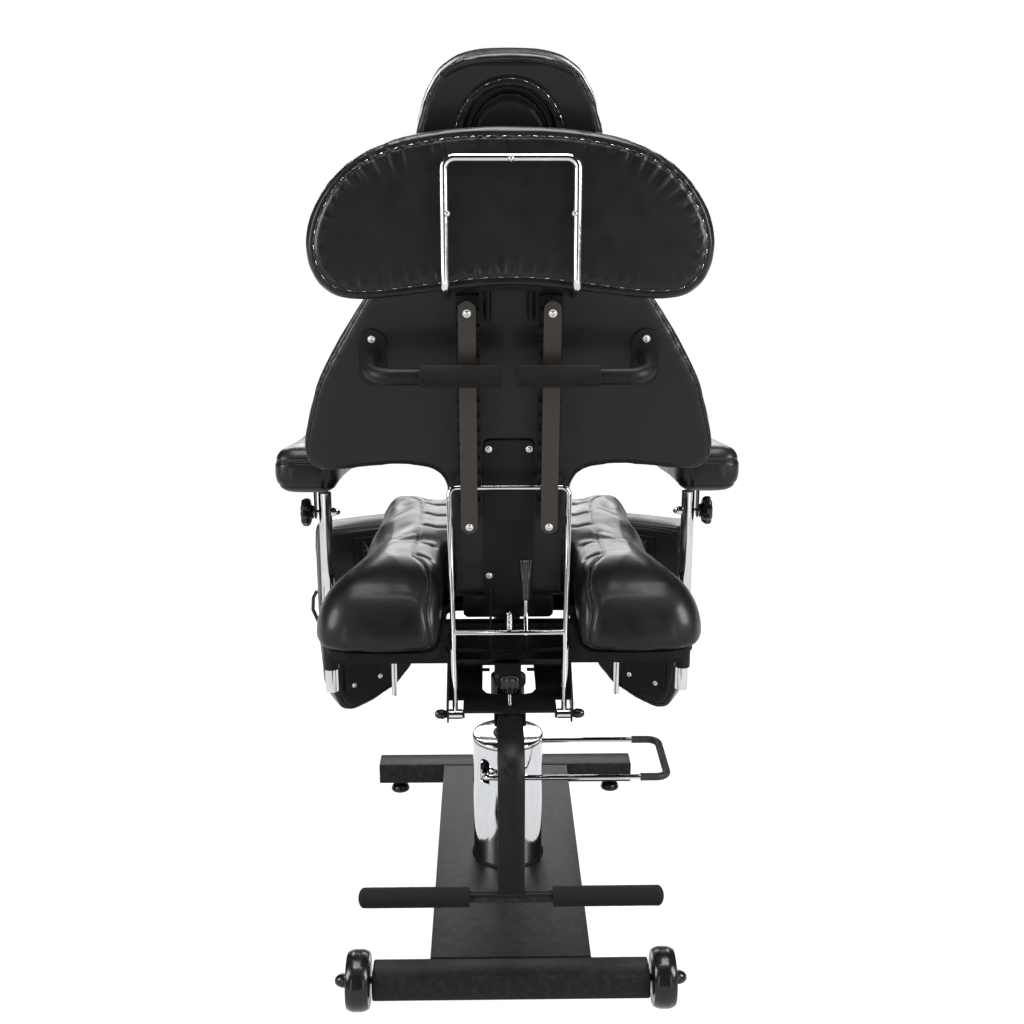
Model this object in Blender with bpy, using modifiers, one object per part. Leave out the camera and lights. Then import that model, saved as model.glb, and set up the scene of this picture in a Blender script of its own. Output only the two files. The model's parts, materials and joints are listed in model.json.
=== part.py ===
"""Hydraulic treatment chair: base, lift, swivelling seat, reclining backrest, armrests and leg rests."""

import math

import bmesh
import bpy
from mathutils import Matrix, Vector

NAME = "treatment_chair"
GAP = 0.0003
ORIGIN_Y = -0.0505  # moves the base centre so that the whole chair is centred on the origin

# Base
BAR_HALF_DEPTH = 0.0285
BAR_Z = (0.0285, 0.0735)
PLATE_HALF_X, PLATE_HALF_Y, PLATE_T = 0.1385, 0.3695, 0.008
FRONT_BAR_HALF_X, REAR_BAR_HALF_X = 0.285, 0.235
WHEEL_R, WHEEL_X = 0.051, (0.2385, 0.2800)
AXLE_R, AXLE_END_X, NUT_R = 0.006, 0.300, 0.012
GLIDE_X, GLIDE_R, GLIDE_STEM_R = 0.240, 0.021, 0.005

# Hydraulic column and pedal
COLUMN_Y = -0.010
COVER_R, COVER_TOP, COVER_WALL = 0.067, 0.328, 0.003
RAM_R, RAM_Z = 0.0225, (0.140, 0.4344)
PEDAL_AXIS = (-0.044, 0.271)
PEDAL_END_X, PEDAL_Y, PEDAL_ROD_R, PEDAL_BEND_R = 0.302, (-0.089, 0.075), 0.005, 0.022
PEDAL_SLEEVE_R, PEDAL_SLEEVE_REACH = 0.008, 0.052
SLOT_HALF_X, SLOT_Z = 0.0085, (0.246, 0.296)

# Seat frame
HUB_R, HUB_Z = 0.032, (0.395, 0.447)
BEAM_HALF_X, BEAM_Y, BEAM_Z = 0.025, (-0.044, 0.316), (0.4450, 0.5160)
ARM_Y, ARM_HALF, ARM_Z = 0.060, 0.015, (0.449, 0.479)
POST_X, POST_R, POST_Z = 0.344, 0.0125, (0.388, 0.790)
SLEEVE_R, SLEEVE_Z = 0.0155, (0.435, 0.572)
RAIL_Z, RAIL_HALF = (0.5147, 0.5847), 0.013
RAIL_REAR_Y, RAIL_REAR_X, RAIL_FRONT_Y, RAIL_FRONT_X = -0.088, 0.200, 0.304, 0.262
BOARD_Z, SEAT_Z, SEAT_BEVEL = (0.5850, 0.5997), (0.6000, 0.7350), 0.045
SEAT_HALF = [(0.0, 0.311), (0.150, 0.313), (0.232, 0.311), (0.258, 0.298), (0.263, 0.270), (0.264, 0.172),
             (0.268, 0.104), (0.276, 0.019), (0.296, -0.063), (0.312, -0.128), (0.325, -0.163),
             (0.333, -0.205), (0.331, -0.246), (0.316, -0.280), (0.285, -0.296), (0.222, -0.300),
             (0.145, -0.298), (0.126, -0.288), (0.118, -0.262), (0.118, -0.055), (0.108, -0.036),
             (0.0, -0.030)]

# Tail bracket and footrest
TRAY_Z, TRAY_Y, TRAY_T = (0.4920, 0.4960), (-0.290, -0.0447), 0.003
FLANGE_X = 0.1075
FLANGE_SIDE = [(-0.046, 0.484), (-0.244, 0.484), (-0.252, 0.466), (-0.270, 0.466), (-0.276, 0.480),
               (-0.292, 0.500), (-0.292, 0.512), (-0.182, 0.582), (-0.150, 0.585), (-0.1015, 0.562),
               (-0.1015, 0.514), (-0.046, 0.514)]
CUTOUT_HALF_X, CUTOUT_Y, CUTOUT_R = 0.047, (-0.218, -0.073), 0.024
LEG_NOTCH_X, LEG_NOTCH_Y = 0.0795, -0.235
HOOK_HALF_Z, HOOK_IN = 0.004, 0.011
RECEIVER_HALF_X, RECEIVER_Z, RECEIVER_Y, RECEIVER_T = 0.027, (0.4677, 0.4924), (-0.291, -0.226), 0.0025
TBAR_HALF_X, TBAR_T, TBAR_Z, TBAR_Y = 0.022, 0.016, 0.4800, (-0.425, -0.130)
TBAR_BEND_R, TBAR_FOOT_Z, TBAR_TUBE_R = 0.055, 0.2250, 0.0095
TBAR_TUBE_X, TBAR_GRIP_X, TBAR_GRIP_R = 0.2450, (0.0685, 0.2520), 0.0168
STUD_Y, STUD_R, CLAMP_KNOB_R, CLAMP_KNOB_Z = -0.262, 0.004, 0.0275, (0.530, 0.556)

# Backrest, leaning back by LEAN; its back face lies HINGE_BACK in front of the hinge
LEAN = math.radians(12.0)
HINGE = (-0.160, 0.555)
HINGE_BACK = 0.053
HINGE_PIN_R = 0.005
BACK_T, BACK_BEVEL = 0.070, 0.018
BACK_HALF = [(0.0, 0.700), (0.120, 0.698), (0.180, 0.686), (0.214, 0.662), (0.240, 0.626), (0.276, 0.563),
             (0.312, 0.500), (0.330, 0.445), (0.345, 0.390), (0.348, 0.366), (0.342, 0.342), (0.325, 0.328),
             (0.298, 0.324), (0.200, 0.334), (0.150, 0.331), (0.124, 0.322), (0.110, 0.300), (0.107, 0.270),
             (0.107, 0.095), (0.098, 0.076), (0.0, 0.072)]
HPLATE_HALF_X, HPLATE_V, HPLATE_T = 0.0435, (0.066, 0.387), 0.004
EAR_X = (0.030, 0.034)
EAR_SIDE = [(0.105, 0.002), (0.066, 0.002), (-0.006, 0.043), (-0.011, 0.053), (-0.006, 0.062),
            (0.006, 0.064),
            (0.060, 0.036), (0.105, 0.010)]
RACK_X, RACK_HALF_X, RACK_BASE, RACK_TOOTH = 0.067, 0.019, 0.012, 0.010
RACK_V, RACK_PITCH, RACK_START = (0.243, 0.640), 0.026, 0.022
STRAP_HALF_X, STRAP_V, STRAP_N = 0.014, (0.240, 0.648), (0.0590, 0.0620)
STRAP_POST_V, STRAP_POST_R = (0.253, 0.6285), 0.0075
HANDLE_X, HANDLE_V, HANDLE_HALF_X, HANDLE_HALF_V = 0.222, 0.534, 0.0225, 0.048
HANDLE_N, HANDLE_R, HANDLE_GRIP_R, HANDLE_GRIP_X = 0.088, 0.0135, 0.0178, (0.0070, 0.1420)

# Prop
PROP_PIVOT = (-0.260, 0.478)
PROP_BAR_V, PROP_BAR_N = 0.3107, 0.0280
PROP_ROD_R, PROP_TOP_X, PROP_FOOT_X = 0.005, 0.1015, 0.0930
PROP_CROSS_R, PROP_SLEEVE_X, PROP_SLEEVE_R = 0.142, (0.0815, 0.1040), 0.0085
BOLT_R = 0.004
LEVER_X, LEVER_ROD, LEVER_GRIP_END, LEVER_GRIP_R = 0.028, (0.142, 0.198), 0.271, 0.0120
SPRING_R, SPRING_WIRE_R, SPRING_LENGTH, SPRING_TURNS = 0.0055, 0.0012, 0.030, 6

# Bean cushion and headrest
BEAN_Y, BEAN_T, BEAN_BEVEL = -0.395, 0.062, 0.014
BEAN_HALF = [(0.0, 1.449), (0.080, 1.447), (0.160, 1.434), (0.215, 1.414), (0.258, 1.382), (0.288, 1.340),
             (0.304, 1.295), (0.304, 1.258), (0.292, 1.225), (0.268, 1.203), (0.235, 1.195), (0.190, 1.196),
             (0.110, 1.206), (0.050, 1.213), (0.0, 1.215)]
BEANBAR_X, BEANBAR_R, BEANBAR_TOP, BEANBAR_V = 0.097, 0.006, 1.402, 0.656
SOCKET_V, SOCKET_HALF_X, SOCKET_N = (0.652, 0.696), 0.050, 0.022
SOCKET_HALF = [(0.0, 0.697), (0.070, 0.697), (0.112, 0.681), (0.112, 0.642), (0.0868, 0.642),
               (0.0868, 0.6505), (0.0, 0.6505)]
HEADROD_X, HEADROD_R, HEADROD_N, HEADROD_V = 0.035, 0.006, 0.0115, (0.600, 0.800)
HEAD_T, HEAD_BEVEL = 0.068, 0.016
HEAD_HALF = [(0.0, 1.004), (0.040, 1.003), (0.078, 0.995), (0.106, 0.976), (0.126, 0.942), (0.139, 0.900),
             (0.147, 0.850), (0.148, 0.805), (0.141, 0.778), (0.122, 0.766), (0.0, 0.764)]
FACE_HOLE, PLUG = (0.072, 0.078, 0.880), (0.064, 0.070)

# Armrests
ARM_PAD_X, ARM_PAD_HALF = 0.360, (0.055, 0.190, 0.039)
ARM_PAD_Y, ARM_PAD_Z, ARM_PAD_TILT = 0.118, 0.840, math.radians(-7.0)
ARM_PIVOT_Z, TAB_X, TAB_HALF_Y, KNOB_X, KNOB_R = 0.752, (0.3605, 0.3635), 0.013, (0.3655, 0.3890), 0.028

# Leg rests
LEG_AXIS, LEG_SPLAY = (0.243, 0.330), math.radians(25.0)
LEG_ROD_R, LEG_ROD_Z, LEG_SOCKET_R, LEG_SOCKET_Z = 0.006, (0.262, 0.575), 0.012, (0.515, 0.560)
LEG_PIVOT, LEG_FACE = (0.070, 0.575), 0.100
LEG_T, LEG_BEVEL = 0.095, 0.016
LEG_OUTLINE = [(-0.104, 0.618), (-0.090, 0.630), (0.098, 0.630), (0.112, 0.618), (0.118, 0.560),
               (0.117, 0.340),
               (0.108, 0.245), (0.088, 0.197), (0.060, 0.190), (0.010, 0.205), (-0.045, 0.232),
               (-0.088, 0.275),
               (-0.106, 0.335), (-0.112, 0.450)]
LEG_PLATE_HALF_X, LEG_PLATE_Z, LEG_PLATE_T = 0.045, (0.360, 0.600), 0.004

for old in list(bpy.data.objects):
    bpy.data.objects.remove(old)
parts = bpy.data.collections.new(NAME)
cutters = bpy.data.collections.new("cutters")
bpy.context.scene.collection.children.link(parts)
bpy.context.scene.collection.children.link(cutters)


def make_material(name, color, metallic, roughness, coat=0.0):
    mat = bpy.data.materials.new(name)
    mat.use_nodes = True
    shader = mat.node_tree.nodes["Principled BSDF"]
    shader.inputs["Base Color"].default_value = (*color, 1.0)
    shader.inputs["Metallic"].default_value = metallic
    shader.inputs["Roughness"].default_value = roughness
    shader.inputs["Coat Weight"].default_value = coat
    return mat


LOOKS = {
    "satin": ((0.018, 0.018, 0.019), 0.0, 0.42, 0.1),
    "chrome": ((0.82, 0.83, 0.85), 1.0, 0.12, 0.0),
    "leather": ((0.012, 0.012, 0.013), 0.0, 0.36, 0.2),
    "foam": ((0.030, 0.030, 0.032), 0.0, 0.85, 0.0),
    "gloss": ((0.012, 0.012, 0.012), 0.0, 0.18, 0.4),
    "strap": ((0.030, 0.022, 0.018), 0.0, 0.50, 0.1),
    "ply": ((0.030, 0.028, 0.026), 0.0, 0.75, 0.0),
}


def finish(obj, name, look, smooth=True):
    """Names the piece, gives it its own material and puts it in the chair's collection."""
    obj.name = name
    obj.data.name = name
    obj.data.materials.clear()
    obj.data.materials.append(make_material("mat_" + name, *LOOKS[look]))
    for owner in list(obj.users_collection):
        owner.objects.unlink(obj)
    parts.objects.link(obj)
    for face in obj.data.polygons:
        face.use_smooth = smooth
    if smooth:
        obj.data.set_sharp_from_angle(angle=math.radians(40))
    return obj


def loose(name, mesh):
    obj = bpy.data.objects.new(name, mesh)
    bpy.context.scene.collection.objects.link(obj)
    return obj


def baked(obj):
    """The object's evaluated mesh as a plain object in place of it."""
    bpy.context.view_layer.update()
    depsgraph = bpy.context.evaluated_depsgraph_get()
    mesh = bpy.data.meshes.new_from_object(obj.evaluated_get(depsgraph))
    mesh.transform(obj.matrix_world)
    bm = bmesh.new()
    bm.from_mesh(mesh)
    bmesh.ops.remove_doubles(bm, verts=bm.verts, dist=0.00001)
    bmesh.ops.recalc_face_normals(bm, faces=bm.faces)
    bm.to_mesh(mesh)
    bm.free()
    bpy.data.objects.remove(obj)
    return loose("piece", mesh)


def box(lo, hi, bevel=0.0):
    bm = bmesh.new()
    size = Vector(hi) - Vector(lo)
    middle = (Vector(hi) + Vector(lo)) / 2
    bmesh.ops.create_cube(bm, size=1.0, matrix=Matrix.Translation(middle) @ Matrix.Diagonal((*size, 1.0)))
    mesh = bpy.data.meshes.new("box")
    bm.to_mesh(mesh)
    bm.free()
    obj = loose("box", mesh)
    if bevel:
        rounded(obj, bevel, 2)
        return baked(obj)
    return obj


def rounded(obj, width, segments, angle=50.0):
    mod = obj.modifiers.new("Bevel", "BEVEL")
    mod.width = width
    mod.segments = segments
    mod.limit_method = "ANGLE"
    mod.angle_limit = math.radians(angle)
    return obj


def lathe(profile, steps=24, matrix=Matrix.Identity(4)):
    """A profile of (radius, height) points turned about Z, then placed by the matrix."""
    bm = bmesh.new()
    verts = [bm.verts.new((r, 0.0, z)) for r, z in profile]
    for a, b in zip(verts, verts[1:]):
        bm.edges.new((a, b))
    mesh = bpy.data.meshes.new("lathe")
    bm.to_mesh(mesh)
    bm.free()
    obj = loose("lathe", mesh)
    mod = obj.modifiers.new("Screw", "SCREW")
    mod.steps = steps
    mod.render_steps = steps
    mod.use_merge_vertices = True
    mod.merge_threshold = 0.00001
    obj.matrix_world = matrix
    return baked(obj)


def rod(radius, start, end, steps=16):
    """A plain round bar between two points."""
    a = Vector(start)
    b = Vector(end)
    length = (b - a).length
    turn = (b - a).to_track_quat("Z", "Y").to_matrix().to_4x4()
    profile = [(0.0, length), (radius, length), (radius, 0.0), (0.0, 0.0)]
    return lathe(profile, steps, Matrix.Translation(a) @ turn)


def fillet(points, radius, count=4, closed=False):
    """The path with each inner corner replaced by an arc of the given radius."""
    points = [Vector(p) for p in points]
    path = []
    for i, p in enumerate(points):
        if not closed and i in (0, len(points) - 1):
            path.append(p)
            continue
        before = (points[i - 1] - p).normalized()
        after = (points[(i + 1) % len(points)] - p).normalized()
        half = before.angle(after) / 2
        reach = radius / math.tan(half)
        centre = p + (before + after).normalized() * radius / math.sin(half)
        first = p + before * reach - centre
        last = p + after * reach - centre
        sweep = first.angle(last)
        for k in range(count + 1):
            f = k / count
            blend = first * math.sin((1 - f) * sweep) + last * math.sin(f * sweep)
            path.append(centre + blend / math.sin(sweep))
    return path


def wire(path, radius, resolution=3, closed=False, capped=True):
    """A round rod bent along the path."""
    curve = bpy.data.curves.new("wire", "CURVE")
    curve.dimensions = "3D"
    curve.bevel_depth = radius
    curve.bevel_resolution = resolution
    curve.use_fill_caps = capped
    spline = curve.splines.new("POLY")
    spline.points.add(len(path) - 1)
    for point, p in zip(spline.points, path):
        point.co = (*p, 1.0)
    spline.use_cyclic_u = closed
    return baked(loose("wire", curve))


def slab(outline, thickness, matrix, holes=()):
    """A flat outline (x, y) extruded from z = 0 down to z = -thickness, then placed by the matrix."""
    curve = bpy.data.curves.new("slab", "CURVE")
    curve.dimensions = "2D"
    curve.fill_mode = "BOTH"
    curve.extrude = thickness / 2
    for loop in (outline, *holes):
        spline = curve.splines.new("POLY")
        spline.points.add(len(loop) - 1)
        for point, p in zip(spline.points, loop):
            point.co = (p[0], p[1], 0.0, 1.0)
        spline.use_cyclic_u = True
    obj = loose("slab", curve)
    obj.matrix_world = matrix @ Matrix.Translation((0, 0, -thickness / 2))
    return baked(obj)


def softened(obj, width, segments=2, angle=50.0):
    rounded(obj, width, segments, angle)
    return baked(obj)


def mirrored(half):
    """A closed outline from its right half, listed from the top middle round to the bottom middle."""
    return list(half) + [(-x, y) for x, y in reversed(half) if x > 1e-6]


def ellipse(rx, ry, cy, count=28):
    return [(rx * math.cos(math.tau * k / count),
             cy + ry * math.sin(math.tau * k / count)) for k in range(count)]


def boolean(body, others, operation):
    for other in others:
        mod = body.modifiers.new("Boolean", "BOOLEAN")
        mod.operation = operation
        mod.solver = "EXACT"
        mod.object = other
        result = baked_keep(body)
        for owner in list(other.users_collection):
            owner.objects.unlink(other)
        bpy.data.objects.remove(other)
        body = result
    return body


def baked_keep(obj):
    """As baked, for an object whose modifiers look at other objects."""
    bpy.context.view_layer.update()
    depsgraph = bpy.context.evaluated_depsgraph_get()
    mesh = bpy.data.meshes.new_from_object(obj.evaluated_get(depsgraph))
    bpy.data.objects.remove(obj)
    return loose("piece", mesh)


def cut(body, *others):
    return boolean(body, others, "DIFFERENCE")


def join(body, *others):
    return boolean(body, others, "UNION")


def side_plane(x):
    """Outline x along world Y, outline y along world Z, extruded from x towards -X by its thickness."""
    return Matrix(((0, 0, 1, x), (1, 0, 0, 0), (0, 1, 0, 0), (0, 0, 0, 1)))


def back_plane(n=0.0):
    """Outline x across, outline y up the leaning back face; n is the distance behind that face."""
    up = Vector((0, -math.sin(LEAN), math.cos(LEAN)))
    rear = Vector((0, -math.cos(LEAN), -math.sin(LEAN)))
    origin = Vector((0, *HINGE)) + rear * (n - HINGE_BACK)
    return Matrix(((-1, 0, rear.x, origin.x), (0, up.y, rear.y, origin.y), (0, up.z, rear.z, origin.z),
                   (0, 0, 0, 1)))


def on_back(x, v, n):
    """World point x across, v up and n behind the backrest's back face."""
    return back_plane() @ Vector((-x, v, n))


def star(radius, depth, lobes, count, matrix):
    """A lobed knob, its outline a circle with shallow valleys, z from 0 down to -depth."""
    outline = []
    for k in range(count):
        a = math.tau * k / count
        r = radius * (0.93 + 0.07 * math.cos(lobes * a))
        outline.append((r * math.cos(a), r * math.sin(a)))
    return softened(slab(outline, depth, matrix), 0.003, 1, 60.0)


def along_x(x, y, z):
    """Local z along world +X at the point."""
    return Matrix.Translation((x, y, z)) @ Matrix.Rotation(math.pi / 2, 4, "Y")


def build_base():
    z0, z1 = BAR_Z
    plate = box((-PLATE_HALF_X, -PLATE_HALF_Y, z1 - PLATE_T), (PLATE_HALF_X, PLATE_HALF_Y, z1))
    finish(plate, "base_plate", "satin", False)
    inner = PLATE_HALF_Y + GAP
    outer = inner + 2 * BAR_HALF_DEPTH
    front = box((-FRONT_BAR_HALF_X, inner, z0), (FRONT_BAR_HALF_X, outer, z1), 0.003)
    middle = (inner + outer) / 2
    for side in (-1, 1):
        hole = rod(GLIDE_STEM_R + GAP, (side * GLIDE_X, middle, z0 - 0.01),
                   (side * GLIDE_X, middle, z0 + 0.025))
        front = cut(front, hole)
        profile = [(0.0, z0 + 0.0245), (GLIDE_STEM_R, z0 + 0.0245), (GLIDE_STEM_R, 0.016), (0.017, 0.014),
                   (GLIDE_R, 0.007), (GLIDE_R - 0.001, 0.0), (0.0, 0.0)]
        glide = lathe(profile, 24, Matrix.Translation((side * GLIDE_X, middle, 0)))
        finish(glide, "glide_" + ("left" if side < 0 else "right"), "gloss")
    finish(front, "front_bar", "satin", False)
    rear = box((-REAR_BAR_HALF_X, -outer, z0), (REAR_BAR_HALF_X, -inner, z1), 0.003)
    bore = rod(AXLE_R + GAP, (-0.4, -middle, WHEEL_R), (0.4, -middle, WHEEL_R), 20)
    finish(cut(rear, bore), "rear_bar", "satin", False)
    build_wheels(-middle)


def build_wheels(y):
    x0, x1 = WHEEL_X
    nut = x1 + GAP + 0.0005
    half = [(0.0, AXLE_END_X), (0.005, AXLE_END_X - 0.001), (0.009, AXLE_END_X - 0.005),
            (NUT_R, nut + 0.007),
            (NUT_R, nut), (AXLE_R, nut)]
    profile = half + [(r, -x) for r, x in reversed(half)]
    finish(lathe(profile, 20, along_x(0, y, WHEEL_R)), "wheel_axle", "gloss")
    bore = AXLE_R + GAP
    rim = [(bore, x0), (0.040, x0 + 0.002), (0.045, x0 + 0.001), (WHEEL_R, x0 + 0.010),
           (WHEEL_R, x1 - 0.010),
           (0.045, x1 - 0.001), (0.040, x1 - 0.004), (0.021, x1 - 0.004), (0.020, x1), (bore, x1),
           (bore, x0)]
    for side, word in ((-1, "left"), (1, "right")):
        turn = along_x(0, y, WHEEL_R) if side > 0 else along_x(0, y, WHEEL_R) @ Matrix.Rotation(math.pi,
                                                                                                4, "X")
        finish(lathe(list(reversed(rim)), 32, turn), "wheel_" + word, "gloss")


def build_column():
    floor = BAR_Z[1] + GAP
    inner = COVER_R - COVER_WALL
    ledge = RAM_R + GAP
    profile = [(ledge, COVER_TOP), (COVER_R - 0.004, COVER_TOP), (COVER_R - 0.001, COVER_TOP - 0.001),
               (COVER_R, COVER_TOP - 0.004), (COVER_R, floor), (inner, floor), (inner, COVER_TOP - 0.006),
               (ledge, COVER_TOP - 0.006), (ledge, COVER_TOP)]
    cover = lathe(profile, 40, Matrix.Translation((0, COLUMN_Y, 0)))
    x, z = PEDAL_AXIS
    w = SLOT_HALF_X
    arch = [(x + w * math.cos(math.pi * k / 8),
             SLOT_Z[1] - w + w * math.sin(math.pi * k / 8)) for k in range(9)]
    outline = [(x + w, SLOT_Z[0]), *arch, (x - w, SLOT_Z[0])]
    facing = Matrix(((1, 0, 0, 0), (0, 0, -1, -0.2), (0, 1, 0, 0), (0, 0, 0, 1)))
    finish(cut(cover, slab(outline, 0.4, facing)), "pump_cover", "chrome")
    finish(rod(RAM_R, (0, COLUMN_Y, RAM_Z[0]), (0, COLUMN_Y, RAM_Z[1]), 32), "lift_ram", "chrome")


def build_pedal():
    x, z = PEDAL_AXIS
    y0, y1 = PEDAL_Y
    corners = [(x, y0, z), (PEDAL_END_X, y0, z), (PEDAL_END_X, y1, z), (x, y1, z)]
    loop = fillet(corners, PEDAL_BEND_R, 4, True)
    tight = fillet(corners, 0.007, 2, True)
    bend = loop[5:15]
    path = tight[:3] + bend + tight[9:]
    finish(wire(path, PEDAL_ROD_R, 3, True), "pedal_rod", "chrome")
    reach = PEDAL_END_X - PEDAL_SLEEVE_REACH
    bend = [Vector((reach, y0, z)), *bend, Vector((reach, y1, z))]
    shell = wire(bend, PEDAL_SLEEVE_R, 3, False, False)
    mod = shell.modifiers.new("Solidify", "SOLIDIFY")
    mod.thickness = PEDAL_SLEEVE_R - PEDAL_ROD_R - GAP
    mod.offset = -1.0
    mod.use_even_offset = True
    finish(baked(shell), "pedal_sleeve", "foam")


def build_seat_frame():
    bore, top = RAM_R + GAP, RAM_Z[1] + GAP
    profile = [(0.0, HUB_Z[1]), (HUB_R, HUB_Z[1]), (HUB_R, HUB_Z[0]), (bore, HUB_Z[0]), (bore, top),
               (0.0, top)]
    hub = lathe(profile, 32, Matrix.Translation((0, COLUMN_Y, 0)))
    beam = box((-BEAM_HALF_X, BEAM_Y[0], BEAM_Z[0]), (BEAM_HALF_X, BEAM_Y[1], BEAM_Z[1]))
    arm = box((-POST_X, ARM_Y - ARM_HALF, ARM_Z[0]), (POST_X, ARM_Y + ARM_HALF, ARM_Z[1]))
    rear = box((-RAIL_REAR_X, RAIL_REAR_Y - RAIL_HALF, RAIL_Z[0]),
               (RAIL_REAR_X, RAIL_REAR_Y + RAIL_HALF, RAIL_Z[1]))
    front = box((-RAIL_FRONT_X, RAIL_FRONT_Y - RAIL_HALF, RAIL_Z[0]),
                (RAIL_FRONT_X, RAIL_FRONT_Y + RAIL_HALF + 0.003, RAIL_Z[0] + 0.045))
    inset = BEAM_HALF_X - 0.003
    brace = box((-inset, RAIL_REAR_Y, RAIL_Z[0] - 0.004), (inset, RAIL_FRONT_Y, RAIL_Z[1] - 0.001))
    frame = join(beam, hub, arm, rear, front, brace)
    for side in (-1, 1):
        x = side * POST_X
        frame = join(frame, rod(SLEEVE_R, (x, ARM_Y, SLEEVE_Z[0]), (x, ARM_Y, SLEEVE_Z[1]), 28))
        frame = cut(frame, rod(POST_R + GAP, (x, ARM_Y, 0.3), (x, ARM_Y, 0.9), 22))
        x, y = side * LEG_AXIS[0], LEG_AXIS[1]
        frame = join(frame, rod(LEG_SOCKET_R, (x, y, LEG_SOCKET_Z[0]), (x, y, LEG_SOCKET_Z[1]), 20))
        frame = cut(frame, rod(LEG_ROD_R + GAP, (x, y, 0.3), (x, y, 0.9), 18))
    finish(frame, "seat_frame", "satin")
    lever = [(-POST_X - SLEEVE_R - 0.004, ARM_Y - 0.006, 0.530), (-POST_X - 0.030, ARM_Y - 0.010, 0.560),
             (-POST_X - 0.028, ARM_Y - 0.012, 0.585), (-POST_X - 0.020, ARM_Y - 0.014, 0.600)]
    finish(wire(fillet(lever, 0.008, 2), 0.0035, 2), "release_lever", "gloss")


def build_seat():
    outline = mirrored(SEAT_HALF)
    seat = slab(outline, SEAT_Z[1] - SEAT_Z[0], Matrix.Translation((0, 0, SEAT_Z[1])))
    finish(softened(seat, SEAT_BEVEL, 2), "seat_pad", "leather")
    inset = [(x * 0.95, y * 0.96) if y > -0.06 or abs(x) > 0.2 else (x * 1.02, y * 0.97) for x, y in outline]
    board = slab(inset, BOARD_Z[1] - BOARD_Z[0], Matrix.Translation((0, 0, BOARD_Z[1])))
    finish(board, "seat_board", "ply", False)


def build_tail():
    tray = box((-FLANGE_X, TRAY_Y[0], TRAY_Z[0]), (FLANGE_X, TRAY_Y[1], TRAY_Z[1]))
    y0, y1 = CUTOUT_Y
    w, r = CUTOUT_HALF_X, CUTOUT_R
    window = [(w, y1), (-w, y1), (-w, y0 + r), (-w + 0.3 * r, y0 + 0.3 * r), (-w + r, y0), (w - r, y0),
              (w - 0.3 * r, y0 + 0.3 * r), (w, y0 + r)]
    tray = cut(tray, slab(window, 0.05, Matrix.Translation((0, 0, TRAY_Z[1] + 0.02))))
    for x0, x1 in ((-0.2, -LEG_NOTCH_X), (LEG_NOTCH_X, 0.2)):
        tray = cut(tray, box((x0, -0.4, 0.48), (x1, LEG_NOTCH_Y, 0.52)))
    for side in (-1, 1):
        x = FLANGE_X if side > 0 else -FLANGE_X + TRAY_T
        tray = join(tray, slab(FLANGE_SIDE, TRAY_T, side_plane(x)))
        hook = box((min(side * w, side * (w - HOOK_IN)) - 0.002, y1 - 0.030, TRAY_Z[0] + 0.0002),
                   (max(side * w, side * (w - HOOK_IN)) + 0.002, y1 - 0.030 + 2 * HOOK_HALF_Z,
                    TRAY_Z[1] - 0.0002))
        tray = join(tray, hook)
    channel = box((-RECEIVER_HALF_X, RECEIVER_Y[0], RECEIVER_Z[0]),
                  (RECEIVER_HALF_X, RECEIVER_Y[1], RECEIVER_Z[1]))
    tray = join(tray, channel)
    t = RECEIVER_T
    bore = box((-RECEIVER_HALF_X + t, RECEIVER_Y[0] - 0.02, RECEIVER_Z[0] + t),
               (RECEIVER_HALF_X - t, RECEIVER_Y[1] + 0.02, TRAY_Z[0] - t + 0.0005))
    tray = cut(tray, bore, rod(STUD_R + GAP, (0, STUD_Y, 0.474), (0, STUD_Y, 0.52)))
    tray = cut(tray, rod(HINGE_PIN_R + GAP, (-0.2, *HINGE), (0.2, *HINGE)))
    tray = cut(tray, rod(BOLT_R + GAP, (-0.2, *PROP_PIVOT), (-0.09, *PROP_PIVOT)))
    tray = cut(tray, rod(BOLT_R + GAP, (0.09, *PROP_PIVOT), (0.2, *PROP_PIVOT)))
    finish(tray, "tail_bracket", "satin", False)
    reach = FLANGE_X + 0.004
    head = [(0.0, reach), (0.008, reach), (0.008, FLANGE_X + GAP), (HINGE_PIN_R, FLANGE_X + GAP)]
    pin = lathe(head + [(r, -z) for r, z in reversed(head)], 16, along_x(0, *HINGE))
    finish(pin, "hinge_pin", "chrome")
    for side, word in ((-1, "left"), (1, "right")):
        x = FLANGE_X + GAP
        inner = PROP_SLEEVE_X[0] - GAP
        profile = [(0.0, x + 0.021), (0.004, x + 0.0205), (0.0075, x + 0.016), (0.0085, x + 0.008),
                   (0.006, x),
                   (BOLT_R, x), (BOLT_R, inner), (0.0075, inner), (0.0075, inner - 0.004),
                   (0.0, inner - 0.004)]
        turn = along_x(0, *PROP_PIVOT) @ (Matrix.Identity(4) if side > 0 else Matrix.Rotation(math.pi, 4,
                                                                                              "X"))
        finish(lathe(profile, 16, turn), "prop_bolt_" + word, "gloss")


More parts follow.
